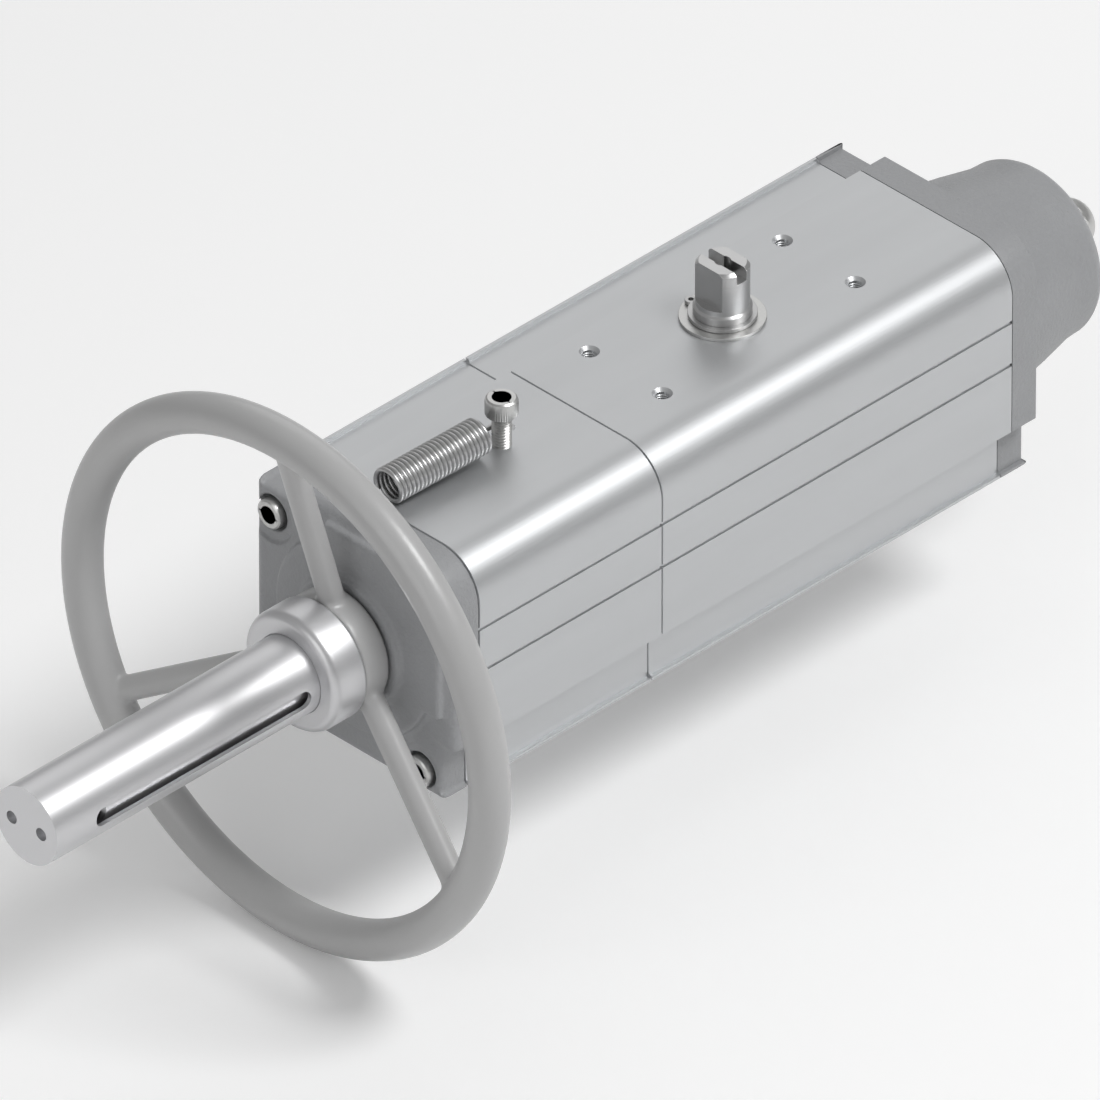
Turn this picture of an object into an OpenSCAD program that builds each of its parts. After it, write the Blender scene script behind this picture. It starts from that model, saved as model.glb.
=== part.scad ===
// Double-acting rack and pinion quarter-turn actuator with a manual override handwheel.
// The origin is on the drive shaft's axis, in the valve mounting face.
// +Z runs up the drive shaft and +X along the cylinder towards the domed cap.

/* [Housing section] */
// Height of the cylinder axis above the valve face, also the half size at the back
axis_h = 43; // [43:0.5:46]
// Half size of the housing section at the front and the top
half_front = 38.5; // [38.2:0.1:39]
// Radius of the front top edge
edge_r = 15; // [12:0.5:16]
// Offset from the axis where the recessed strips start
strip_y = 24.2; // [23:0.1:26]
// Depth of the strips' lip below the face
strip_drop = 4.5; // [4:0.1:5]
// Width of the strips' lip
lip_w = 1; // [0.8:0.1:2]
// Depth of the strips' floor below the lip
strip_sag = 1.4; // [0.8:0.1:1.6]
// Width of the two front grooves
groove_w = 1.2; // [0.8:0.1:2]
// Depth of the two front grooves
groove_d = 0.8; // [0.4:0.1:1.2]
// Height of the upper front groove above the axis
groove_z = 15.2; // [12:0.1:18]

/* [Lengths along the cylinder] */
// Left end of the main housing
main_left = -63.5; // [-66:0.5:-63]
// Right end of the main housing
main_right = 82; // [81:0.5:84]
// Length of the extension housing
extension_len = 75.3; // [74:0.1:80]
// Thickness of the right cap's flange
flange_t = 10.5; // [10:0.5:13]
// Length of the right cap's dome
dome_len = 41.5; // [40:0.5:46]
// Radius of the dome at its foot
dome_base_r = 34; // [33:0.1:34.5]
// Loss of the dome's radius from its foot to its shoulder
dome_taper = 5.2; // [4:0.1:6]
// Radius of the dome's rounded shoulder
dome_round_r = 8.5; // [7:0.1:9]
// Thickness of the left cover's plate
cover_t = 11.4; // [11:0.1:13]
// Height of the pad on the left cover
pad_t = 2.8; // [2:0.1:4]
// Projection of the left cover's boss
boss_t = 4.6; // [4.3:0.1:4.8]

/* [Cylinder and pistons] */
// Cylinder bore radius
bore_r = 33; // [32.8:0.05:33.2]
// Radial clearance of the running fits
fit_gap = 0.06; // [0.03:0.01:0.09]
// Thickness of a piston head
head_t = 9.5; // [9.2:0.1:10]
// Gap between a piston head and its end stop
stop_gap = 0.3; // [0.2:0.1:0.5]
// Half height of a rack
rack_half_h = 12; // [11:0.5:13]
// Distance from the axis to the back of a rack
rack_back = 26; // [25:0.5:27]
// Reach of a rack past the shaft axis
rack_reach = 6; // [5:0.5:6.2]
// Cord radius of the piston rings
piston_cord_r = 1.4; // [1.2:0.1:1.5]
// Width of a guide band
band_w = 2.4; // [2:0.1:2.6]
// Half height of the rack guide pad
pad_half_h = 5; // [4:0.5:7]

/* [Rack and pinion] */
// Gear module
gear_m = 2; // [2]
// Number of pinion teeth
teeth = 15; // [15]
// Pressure angle in degrees
pressure = 20; // [20]
// Height of a rack tooth above the pitch line
rack_add = 1.7; // [1.6:0.05:1.75]
// Depth of a rack gap below the pitch line
rack_ded = 2.3; // [2.2:0.05:2.5]
// Backlash at the pitch line
backlash = 0.16; // [0.1:0.02:0.3]
// Half height of the pinion
pinion_half_h = 12; // [11:0.5:13]

/* [Drive shaft] */
// Radius of the lower journal
journal_r = 18; // [17.5:0.1:18.5]
// Radius of the shaft between the pinion and the top
neck_r = 12; // [11:0.5:12.5]
// Radius of the top journal
top_journal_r = 10; // [9.5:0.1:10]
// Radius of the shaft's shoulder above the housing
shoulder_r = 8.8; // [8.5:0.1:9.2]
// Height of the shoulder above the top face
shoulder_h = 4.7; // [4:0.1:5.5]
// Radius of the shaft end above its shoulder
stub_r = 8.1; // [7.8:0.05:8.3]
// Height of the shaft end above the top face
stub_h = 20; // [20:1:30]
// Height of the shaft end where its two flats start
flat_z = 7; // [6:0.5:9]
// Half distance across the two flats
flat_half = 5.8; // [5.2:0.1:6.4]
// Width of the slot in the shaft end
slot_w = 4; // [3:0.1:4.5]
// Depth of the slot in the shaft end
slot_d = 4; // [3:0.5:5]
// Size of the square socket for the valve stem
square_w = 14; // [11:0.5:14.5]
// Depth of the square socket
square_d = 16; // [14:1:18]
// Wall of the shaft bushes
bush_wall = 2.4; // [2:0.1:2.6]

/* [Fixings] */
// Radius of an M6 shank
m6_r = 3; // [2.9:0.05:3.1]
// Radius of an M6 socket head
m6_head_r = 5; // [4.8:0.05:5.2]
// Height of an M6 socket head
m6_head_h = 6; // [5.5:0.1:6.3]
// Hexagon socket across flats of an M6 screw
m6_socket = 5; // [4.5:0.5:5]
// Radius of a counterbore for an M6 head
m6_pocket_r = 5.9; // [5.5:0.1:6.1]
// Distance of the end screws from the axis along the back and the bottom face
screw_near = 24.4; // [24:0.1:25]
// Distance of the end screws inside the back and the bottom face
screw_edge = 6.3; // [6:0.1:6.6]
// Length of an end cap screw
cap_screw_len = 22; // [20:1:26]
// Reach of a tie screw into the main housing
tie_reach = 15; // [12:1:20]
// Radius of the cover's pocket round an end screw
cover_pocket_r = 9.4; // [8:0.1:9.6]
// Spacing of the top fixing holes along X
top_pitch_x = 80; // [80]
// Spacing of the top fixing holes along Y
top_pitch_y = 30; // [30]
// Tapping radius of an M5 hole
m5_r = 2.1; // [2.1]
// Radius of the countersink on the top holes
sink_r = 3.1; // [2.9:0.1:3.5]
// Depth of the top and port face holes
m5_depth = 4.5; // [4:0.1:4.6]
// Bolt circle of the small valve flange pattern
small_pcd = 50; // [50]
// Tapping radius of the small valve flange pattern
small_r = 2.5; // [2.5]
// Bolt circle of the large valve flange pattern
large_pcd = 70; // [70]
// Tapping radius of the large valve flange pattern
large_r = 3.4; // [3.4]
// Depth of the small pattern's holes
small_depth = 9; // [8:0.5:10]
// Depth of the large pattern's holes
large_depth = 13; // [12:0.5:14]

/* [Air ports] */
// Distance between the two air ports
port_pitch = 24; // [24]
// Tapping radius of an air port
port_r = 5.9; // [5.9]
// Depth of the blind air port
port_depth = 7.5; // [7:0.1:8]
// Spacing of the port face screws along X
port_screw_x = 32; // [32]
// Spacing of the port face screws along Z
port_screw_z = 24; // [24]
// Radius of the air channel along the housing
channel_r = 2.2; // [2:0.1:2.4]
// Height of the air channel above the axis
channel_z = 16.5; // [16:0.1:17]
// Distance of the air channel inside the back face
channel_edge = 7; // [6:0.1:7.5]

/* [Handwheel] */
// Radius of the rim's centre line
rim_r = 84; // [80:1:100]
// Radius of the rim's round section
rim_tube_r = 6.3; // [5:0.1:7]
// Distance of the rim's plane from the cover
rim_out = 29.8; // [28:0.1:33]
// Radius of a spoke
spoke_r = 4; // [3:0.1:4.4]
// Number of spokes
spokes = 3; // [3:1:5]
// Radius of the hub
hub_r = 18.8; // [18.4:0.1:19.6]
// Length of the hub
hub_len = 10.3; // [10:0.1:12]
// Radius of the clamp collar
collar_r = 19.5; // [18:0.1:21]
// Length of the clamp collar
collar_len = 12.6; // [12:0.1:15]
// Rounding of the collar's outer edge
collar_edge = 3; // [1:0.5:4]
// Side of the square hub key
key_w = 4; // [3:0.5:4.5]

/* [Spindle and cover tube] */
// Radius of the cover tube
tube_r = 12.75; // [12.5:0.05:13]
// Wall of the cover tube
tube_wall = 1.35; // [1.2:0.05:1.5]
// Visible length of the cover tube
tube_len = 107; // [105:1:130]
// Width of the sight slot
sight_w = 6; // [4:0.5:7]
// Length of the sight slot
sight_len = 87.4; // [60:0.1:88]
// Distance from the collar to the sight slot
sight_start = 3.7; // [3:0.1:6]
// Spacing of the two spanner holes in the tube's end
spanner_pitch = 12.14; // [11:0.01:13]
// Radius of a spanner hole
spanner_r = 2.1; // [1.6:0.1:2.5]
// Radius of the spindle
stem_r = 10; // [9.5:0.1:10.2]
// Gap between the spindle's end and the tube's end
stem_room = 21.5; // [20:0.5:24]
// Radius of the drive nut's sleeve
nut_r = 14; // [13.6:0.1:14.2]
// Radius of the drive nut's flange
nut_flange_r = 20; // [19:0.1:20.5]
// Thickness of the drive nut's flange
nut_flange_t = 5; // [4:0.5:5]
// Thickness of a thrust washer
washer_t = 1.5; // [1:0.1:1.6]
// Radius of the push rod
rod_r = 6; // [5:0.1:6.5]
// Thickness of the guide disc
guide_t = 8; // [7:0.5:8]
// Width of the guide key
guide_key_w = 6; // [4:0.5:8]
// Wall left between the extension's cavity and the front face
extension_wall = 7.5; // [7:0.1:8]
// Thickness of the bulkhead
bulkhead_t = 12; // [11:0.5:12.5]

/* [Travel stop] */
// Radius of the stop screw
stop_r = 5; // [4:0.1:5.5]
// Size of the cap nut across its flats
cap_nut_af = 17; // [15:0.5:18]
// Height of the cap nut's hexagon
cap_nut_h = 10; // [9.5:0.1:12]
// Radius of the cap nut's dome
cap_nut_dome_r = 7.8; // [7:0.1:8.2]

/* [Return spring] */
// Distance of the spring screw from the shaft axis
spring_screw_x = 91.2; // [88:0.1:94]
// Height of the spring screw's head above the top face
spring_screw_h = 16.7; // [15:0.1:20]
// Outer radius of the spring
spring_r = 6; // [5:0.1:6.5]
// Radius of the spring wire
wire_r = 0.8; // [0.6:0.1:0.8]
// Number of close wound turns
spring_turns = 23; // [16:1:23]

/* [Hidden] */

$fn = 64;

// Small overlap that cutting shapes reach past a face
eps = 0.5;
// Clearance between flat faces that slide on each other
slide = 0.1;

half_back = axis_h;
top_z = axis_h + half_front;
extension_left = main_left - extension_len;
cover_face = extension_left - cover_t;
pad_face = cover_face - pad_t;
boss_face = cover_face - boss_t;
flange_face = main_right + flange_t;
dome_end = flange_face + dome_len;

pitch_r = gear_m * teeth / 2;
base_r = pitch_r * cos(pressure);
pinion_tip_r = pitch_r + gear_m;
pinion_root_r = pitch_r - rack_add - 0.5;
rack_pitch = PI * gear_m;
stroke = PI * pitch_r / 2;
left_head = main_left + stop_gap;
// Both pistons stand at the same distance from the shaft
right_stop_x = -main_left;

screw_far = half_back - screw_edge;
channel_y = half_back - channel_edge;
end_screws = [
    [screw_far, screw_near], [screw_far, -screw_near],
    [screw_near, -screw_far], [-screw_near, -screw_far]
];

cavity_r = half_front - extension_wall;
hub_x = boss_face - 0.6;
collar_x = hub_x - hub_len;
tube_x = collar_x - collar_len;
tube_end = tube_x - tube_len;
stem_end = tube_end + stem_room;
bulkhead_x = main_left - bulkhead_t;
retainer_t = 4;
nut_shoulder_x = extension_left - 2.2;
spigot_x = nut_shoulder_x + 2 * washer_t + nut_flange_t + 3 * slide + retainer_t;
nut_pocket_r = nut_flange_r + 1.5;
ring_cord_r = 1.1;

// Height of the lower bush's bottom and the two bushes' lengths
lower_bush_z = 4.6;
lower_bush_h = 5.2;
upper_bush_h = 4.6;
upper_bush_top = top_z - 2.4;
shoulder_z = upper_bush_top - upper_bush_h - slide;
// Loose fit round the shaft where the bushes don't carry it
shaft_room = 0.35;
// Thicknesses of the shaft's top washer and its circlip
washer_h = 1;
circlip_h = 1.2;
circlip_z = top_z + washer_h + slide;
// Cord radius of the shaft's upper ring, and the heights of its two rings
top_cord_r = 0.8;
low_ring_z = 2.1;
top_ring_z = top_z - 1.2;

// Clearance between pieces that are pressed or screwed together
press = 0.02;
// Radial clearance of a screw in its hole
hole_gap = 0.3;
// Radius and thickness of the travel stop's washer
stop_washer_r = 10.4;
stop_washer_t = 1.4;
stop_nut_x = dome_end + stop_washer_t;
// Depth of a cap screw's head below the cap's face
cap_seat_x = flange_face - m6_head_h - 0.5;
screw_seat_x = cover_face + 5.6;

bulkhead_r = 34.4;
nut_end = tube_x + 6;
key_len = hub_len - 1.6;
// Height below the axis down to which the cover's pad reaches its front edge
pad_low = 12;

// The places of a piston's band, ring and pad, counted from its outer face
band_x = 2.4;
cord_x = 6.4;
pad_x0 = 16;
pad_x1 = 54;
pad_sink = 1.4;
band_t = 1.5;

// The spindle's pilot that carries the guide disc, and the push rod's spigot in it
pilot_r = 8;
stem_tail = 8;
rod_spigot_r = 4;
guide_nut_t = 6.5;
guide_nut_af = 24;
guide_x = bulkhead_x - stroke - guide_t - stem_tail - 0.7;

// A cylinder along X from x0 to x1, about the cylinder axis
module rod_x(x0, x1, r) {
    translate([x0, 0, axis_h])
        rotate([0, 90, 0])
            cylinder(h = x1 - x0, r = r);
}

// A ring cord about the cylinder axis, with its centre line at radius r
module ring_x(x, r, cord) {
    translate([x, 0, axis_h])
        rotate([0, 90, 0])
            rotate_extrude()
                translate([r, 0])
                    circle(r = cord, $fn = 24);
}

// A round profile of [x, radius] points, turned about the cylinder axis
module turned_x(points) {
    translate([0, 0, axis_h])
        rotate([0, 90, 0])
            rotate_extrude()
                polygon([for (p = points) [p[1], p[0]]]);
}

// A straight round bar between two points
module bar(p, q, r) {
    d = q - p;
    translate(p)
        rotate([0, acos(d[2] / norm(d)), atan2(d[1], d[0])])
            cylinder(h = norm(d), r = r);
}

// The recessed strip behind the top face, with a narrow lip along the section's back edge
module strip_cut() {
    lip_z = half_front - strip_drop;
    translate([strip_y, lip_z])
        square([half_back, half_front]);
    translate([strip_y, lip_z - strip_sag])
        square([half_back - lip_w - strip_y, half_front]);
}

// The housing's section, with Y to the right and Z up from the cylinder axis
module section(grooved) {
    difference() {
        union() {
            translate([edge_r - half_front, -half_back])
                square([half_back + half_front - edge_r, half_back + half_front]);
            translate([-half_front, -half_back])
                square([half_back + half_front, half_back + half_front - edge_r]);
            translate([edge_r - half_front, half_front - edge_r])
                circle(r = edge_r);
        }
        strip_cut();
        mirror([1, 1])
            strip_cut();
        if (grooved)
            for (z = [0, groove_z])
                translate([-half_front - groove_d, z - groove_w / 2])
                    square([2 * groove_d, groove_w]);
    }
}

// The housing's section as a bar along X, with or without its front grooves
module section_bar(x0, x1, grooved = true) {
    translate([x0, 0, axis_h])
        rotate([90, 0, 90])
            linear_extrude(height = x1 - x0)
                section(grooved);
}

// One gap of a rack's teeth, open towards +Y with the pitch line at y = 0
module rack_gap() {
    half = rack_pitch / 4 + backlash / 2;
    slope = tan(pressure);
    top = rack_add + 1;
    polygon([
        [half + slope * top, top], [half - slope * rack_ded, -rack_ded],
        [slope * rack_ded - half, -rack_ded], [-half - slope * top, top]
    ]);
}

// Angle between the tooth's centre line and its flank at radius r, in degrees
function flank_angle(r) =
    let (a = acos(base_r / r))
    90 / teeth - backlash / pitch_r * 90 / PI + (tan(pressure) - tan(a)) * 180 / PI + a - pressure;

// The pinion's outline, with involute flanks
module pinion_outline() {
    steps = 6;
    radii = [for (i = [0 : steps]) base_r + 0.01 + (pinion_tip_r - base_r - 0.01) * i / steps];
    root_angle = flank_angle(radii[0]);
    polygon([
        for (t = [0 : teeth - 1])
            let (mid = t * 360 / teeth - 90)
            for (p = concat(
                [[pinion_root_r, -root_angle - 1]],
                [for (r = radii) [r, -flank_angle(r)]],
                [for (i = [steps : -1 : 0]) [radii[i], flank_angle(radii[i])]],
                [[pinion_root_r, root_angle + 1]]
            ))
                p[0] * [cos(mid + p[1]), sin(mid + p[1])]
    ]);
}

// A socket head screw pointing along +Z, with the underside of its head at z = 0
module socket_screw(len, r = m6_r, head_r = m6_head_r, head_h = m6_head_h, af = m6_socket) {
    difference() {
        union() {
            cylinder(h = len, r = r);
            translate([0, 0, -head_h])
                cylinder(h = head_h, r = head_r);
        }
        translate([0, 0, -head_h - eps])
            cylinder(h = head_h / 2 + eps, r = af / sqrt(3), $fn = 6);
    }
}

// The four end screw places, each turned so that +Z becomes the direction along X
module at_end_screws(x, direction) {
    for (p = end_screws)
        translate([x, p[0], axis_h + p[1]])
            rotate([0, 90 * direction, 0])
                children();
}

// Holes through the four end screw places
module end_screw_holes(x0, x1, r) {
    at_end_screws(x0, 1)
        cylinder(h = x1 - x0, r = r);
}

// Blind holes of a bolt circle in the valve face
module valve_holes(pcd, r, depth) {
    for (a = [45 : 90 : 315])
        rotate([0, 0, a])
            translate([pcd / 2, 0, -eps])
                cylinder(h = depth + eps, r = r);
}

// Cuts for the shaft, its bushes and the washer in the housing
module shaft_cuts() {
    translate([0, 0, -eps])
        cylinder(h = axis_h, r = journal_r + shaft_room);
    translate([0, 0, lower_bush_z])
        cylinder(h = axis_h - lower_bush_z, r = journal_r + fit_gap + bush_wall);
    translate([0, 0, axis_h])
        cylinder(h = axis_h, r = top_journal_r + shaft_room);
    translate([0, 0, axis_h])
        cylinder(h = upper_bush_top - axis_h, r = top_journal_r + fit_gap + bush_wall);
}

// Cuts for the air ports, their screws and the channel to the two ends
module port_cuts() {
    for (side = [-1, 1]) {
        depth = side < 0 ? half_back - bore_r + 4 : port_depth;
        translate([side * port_pitch / 2, half_back - depth, axis_h])
            rotate([-90, 0, 0])
                cylinder(h = depth + eps, r = port_r);
        for (z = [-1, 1])
            translate([side * port_screw_x / 2, half_back - m5_depth, axis_h + z * port_screw_z / 2])
                rotate([-90, 0, 0])
                    cylinder(h = m5_depth + eps, r = m5_r);
    }
    translate([main_left - eps, channel_y, axis_h + channel_z])
        rotate([0, 90, 0])
            cylinder(h = main_right - main_left + 2 * eps, r = channel_r);
    translate([port_pitch / 2 - 4, half_back - port_depth + 2, axis_h])
        cylinder(h = channel_z, r = 1.6);
    channel_slot(main_left - eps, main_left + 2.5);
}

// A milled slot that leads the air channel inwards to the cylinder
module channel_slot(x0, x1) {
    inner = sqrt(bore_r * bore_r - channel_z * channel_z) - 4;
    translate([x0, inner, axis_h + channel_z - channel_r])
        cube([x1 - x0, channel_y - inner, 2 * channel_r]);
}

module main_housing() {
    color("gainsboro")
        difference() {
            section_bar(main_left, main_right);
            rod_x(main_left - eps, main_right + eps, bore_r);
            shaft_cuts();
            port_cuts();
            end_screw_holes(main_left - eps, main_left + tie_reach + 2, m6_r + press);
            end_screw_holes(main_right - 16, main_right + eps, m6_r + press);
            valve_holes(small_pcd, small_r, small_depth);
            valve_holes(large_pcd, large_r, large_depth);
            for (x = [-1, 1], y = [-1, 1])
                translate([x * top_pitch_x / 2, y * top_pitch_y / 2, top_z]) {
                    translate([0, 0, -m5_depth])
                        cylinder(h = m5_depth + eps, r = m5_r);
                    translate([0, 0, m5_r - sink_r])
                        cylinder(h = sink_r - m5_r + 0.01, r1 = m5_r, r2 = sink_r + 0.01);
                }
        }
}

module lower_bush() {
    color("ivory")
        translate([0, 0, lower_bush_z])
            difference() {
                cylinder(h = lower_bush_h, r = journal_r + fit_gap + bush_wall - press);
                translate([0, 0, -eps])
                    cylinder(h = lower_bush_h + 2 * eps, r = journal_r + fit_gap);
            }
}

module upper_bush() {
    color("ivory")
        translate([0, 0, upper_bush_top - upper_bush_h])
            difference() {
                cylinder(h = upper_bush_h, r = top_journal_r + fit_gap + bush_wall - press);
                translate([0, 0, -eps])
                    cylinder(h = upper_bush_h + 2 * eps, r = top_journal_r + fit_gap);
            }
}

module shaft_washer() {
    color("silver")
        translate([0, 0, top_z])
            difference() {
                cylinder(h = washer_h, r = 13);
                translate([0, 0, -eps])
                    cylinder(h = washer_h + 2 * eps, r = shoulder_r + 0.3);
            }
}

module right_cap() {
    wall = 6;
    base = dome_base_r;
    mid_x = flange_face + 0.41 * dome_len;
    end_x = flange_face + 0.7 * dome_len;
    end_r = dome_base_r - dome_taper;
    arc_r = dome_round_r;
    color("gainsboro")
        difference() {
            union() {
                section_bar(main_right, flange_face, false);
                turned_x([
                    [right_stop_x + stop_gap, 0], [right_stop_x + stop_gap, bore_r - 1],
                    [right_stop_x + stop_gap + 1, bore_r - fit_gap], [main_right + 1, bore_r - fit_gap],
                    [main_right + 1, 0]
                ]);
                turned_x(concat(
                    [[flange_face - 1, 0], [flange_face - 1, base], [flange_face, base]],
                    [[mid_x, base - 0.52 * dome_taper], [end_x, end_r]],
                    [for (a = [15 : 15 : 90])
                        [dome_end - arc_r + arc_r * sin(a), end_r - arc_r + arc_r * cos(a)]],
                    [[dome_end, 0]]
                ));
            }
            turned_x([
                [right_stop_x, 0], [right_stop_x, base - wall - 1], [flange_face, base - wall - 1],
                [end_x, end_r - wall - 0.4], [dome_end - 12, end_r - wall - 7],
                [dome_end - 9, 0]
            ]);
            ring_groove(main_right - 6, bore_r - 2 * ring_cord_r - 0.1, bore_r + 1);
            channel_slot(main_right - eps, main_right + 3);
            end_screw_holes(main_right - eps, flange_face + eps, m6_r + hole_gap);
            end_screw_holes(cap_seat_x, flange_face + eps, m6_pocket_r);
            rod_x(dome_end - 20, dome_end + eps, stop_r + press);
        }
}

// A square groove for a ring cord, centred at x and open outwards
module ring_groove(x, inner, outer) {
    difference() {
        rod_x(x - 1.5, x + 1.5, outer);
        rod_x(x - 2, x + 2, inner);
    }
}

module right_cap_ring() {
    color("dimgray")
        ring_x(main_right - 6, bore_r - ring_cord_r - 0.04, ring_cord_r);
}

module cap_screws() {
    color("silver")
        at_end_screws(cap_seat_x, -1)
            socket_screw(cap_screw_len - 6);
}

module stop_screw() {
    color("silver")
        rod_x(right_stop_x + stop_gap, stop_nut_x + cap_nut_h, stop_r);
}

module stop_washer() {
    color("dimgray")
        difference() {
            rod_x(dome_end, stop_nut_x, stop_washer_r);
            rod_x(dome_end - eps, stop_nut_x + eps, stop_r + 0.2);
        }
}

module stop_cap_nut() {
    dome_x = stop_nut_x + cap_nut_h - 1;
    color("silver")
        difference() {
            union() {
                translate([stop_nut_x, 0, axis_h])
                    rotate([0, 90, 0])
                        intersection() {
                            cylinder(h = cap_nut_h, r = cap_nut_af / sqrt(3), $fn = 6);
                            cylinder(h = cap_nut_h, r1 = cap_nut_af * 0.53, r2 = cap_nut_af * 0.62);
                        }
                turned_x(concat(
                    [[dome_x, 0]],
                    [for (a = [0 : 10 : 90])
                        [dome_x + cap_nut_dome_r * sin(a), cap_nut_dome_r * cos(a)]]
                ));
            }
            rod_x(stop_nut_x - eps, stop_nut_x + cap_nut_h + 1, stop_r + press);
        }
}

module extension_housing() {
    color("gainsboro")
        difference() {
            section_bar(extension_left, main_left);
            rod_x(extension_left - eps, main_left + eps, cavity_r);
            rod_x(bulkhead_x, main_left + eps, bulkhead_r + 0.03);
            end_screw_holes(extension_left - eps, main_left + eps, m6_r + hole_gap);
            translate([extension_left - eps, -guide_key_w / 2 - slide, axis_h - cavity_r - 3.5])
                cube([bulkhead_x - extension_left + eps, guide_key_w + 2 * slide, cavity_r]);
            translate([-spring_screw_x, 0, top_z - 6.5])
                cylinder(h = 7, r = m6_r + press);
        }
}

module bulkhead() {
    color("silver")
        difference() {
            rod_x(bulkhead_x, main_left, bulkhead_r);
            rod_x(bulkhead_x - eps, main_left + eps, rod_r + fit_gap);
            rod_x(bulkhead_x + 4, bulkhead_x + 7, rod_r + 2 * ring_cord_r + 0.1);
            ring_groove(bulkhead_x + bulkhead_t / 2, bulkhead_r - 2 * ring_cord_r - 0.1, bulkhead_r + 1);
        }
}

module bulkhead_ring() {
    color("dimgray")
        ring_x(bulkhead_x + bulkhead_t / 2, bulkhead_r - ring_cord_r - 0.04, ring_cord_r);
}

module rod_seal() {
    color("dimgray")
        ring_x(bulkhead_x + 5.5, rod_r + ring_cord_r + 0.04, ring_cord_r);
}

// The raised pad: up to the edge at the front top, bounded by a circle at the back and bottom
module pad_outline(inset) {
    corner = half_front - inset;
    union() {
        circle(r = cavity_r + 0.8);
        translate([-corner, -pad_low])
            square([corner, corner + pad_low - edge_r + inset]);
        translate([edge_r - half_front, 0])
            square([pad_low + half_front - edge_r, corner]);
        translate([edge_r - half_front, half_front - edge_r])
            circle(r = edge_r - inset);
    }
}

module left_cover() {
    pad_inset = 3;
    color("gainsboro")
        difference() {
            union() {
                section_bar(cover_face, extension_left, false);
                translate([pad_face, 0, axis_h])
                    rotate([90, 0, 90])
                        linear_extrude(height = pad_t + 1)
                            pad_outline(pad_inset);
                turned_x([
                    [boss_face, 0], [boss_face, 20], [boss_face + 1, 21], [cover_face, 23],
                    [cover_face + 1, 23], [cover_face + 1, 0]
                ]);
                rod_x(extension_left - 1, spigot_x, cavity_r - 0.03);
            }
            rod_x(boss_face - eps, extension_left, nut_r + fit_gap);
            rod_x(nut_shoulder_x, spigot_x + eps, nut_pocket_r);
            ring_groove(extension_left + 4.5, cavity_r - 2 * ring_cord_r - 0.1, cavity_r + 1);
            end_screw_holes(cover_face - 10, extension_left + eps, m6_r + hole_gap);
            end_screw_holes(cover_face - 10, screw_seat_x, m6_pocket_r);
            end_screw_holes(cover_face - 10, cover_face + 1.2, cover_pocket_r);
        }
}

module cover_ring() {
    color("dimgray")
        ring_x(extension_left + 4.5, cavity_r - ring_cord_r - 0.04, ring_cord_r);
}

module tie_screws() {
    color("silver")
        at_end_screws(screw_seat_x, 1)
            socket_screw(main_left + tie_reach - screw_seat_x);
}

module nut_retainer() {
    color("silver")
        difference() {
            rod_x(spigot_x - retainer_t, spigot_x, nut_pocket_r - press);
            rod_x(spigot_x - retainer_t - eps, spigot_x + eps, nut_r + 2);
            for (side = [-1, 1])
                translate([spigot_x - 2.5, side * (nut_pocket_r + nut_r + 2) / 2, axis_h])
                    rotate([0, 90, 0])
                        cylinder(h = 3, r = 1.2);
        }
}

module thrust_washers() {
    color("tan")
        for (x = [nut_shoulder_x, nut_shoulder_x + washer_t + nut_flange_t + 2 * slide])
            difference() {
                rod_x(x, x + washer_t, nut_pocket_r - 0.3);
                rod_x(x - eps, x + washer_t + eps, nut_r + 0.4);
            }
}

module spring_screw() {
    color("silver")
        translate([-spring_screw_x, 0, top_z + spring_screw_h - m6_head_h])
            rotate([180, 0, 0])
                socket_screw(spring_screw_h - m6_head_h + 6);
}

// Close wound extension spring with its last turn raised as an eye round the screw
module tension_spring() {
    pitch = 1.94 * wire_r;
    len = spring_turns * pitch;
    centre = spring_r - wire_r;
    tail_gap = 9;
    tail_rise = 1.6;
    tail_side = 2.2;
    tail = [-spring_screw_x - tail_gap - len, tail_side, top_z + spring_r + 0.05];
    slope = atan2(tail_rise, len);
    turn = -atan2(tail_side, len);
    hook_r = m6_r + wire_r + press;
    root_r = centre - 0.25;
    hook_z = tail[2] + tail_rise - sqrt(root_r * root_r - hook_r * hook_r);
    knuckle_r = wire_r + 0.04;
    color("silver") {
        translate(tail)
            rotate([0, 90 - slope, turn])
                rotate_extrude()
                    polygon(concat(
                        [[centre - 0.4 * wire_r, 0]],
                        [for (i = [0 : spring_turns - 1], a = [-80 : 40 : 80])
                            [centre + wire_r * cos(a), (i + 0.5) * pitch + wire_r * sin(a) * 0.97]],
                        [[centre - 0.4 * wire_r, len]]
                    ));
        bar(
            [-spring_screw_x - tail_gap - wire_r, hook_r, hook_z],
            [-spring_screw_x, hook_r, hook_z],
            wire_r
        );
        translate([-spring_screw_x, hook_r + knuckle_r - wire_r, hook_z])
            sphere(r = knuckle_r, $fn = 24);
        translate([-spring_screw_x, 0, hook_z])
            rotate([0, 0, -20])
                rotate_extrude(angle = 110)
                    translate([hook_r, 0])
                        circle(r = wire_r, $fn = 24);
    }
}

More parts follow.
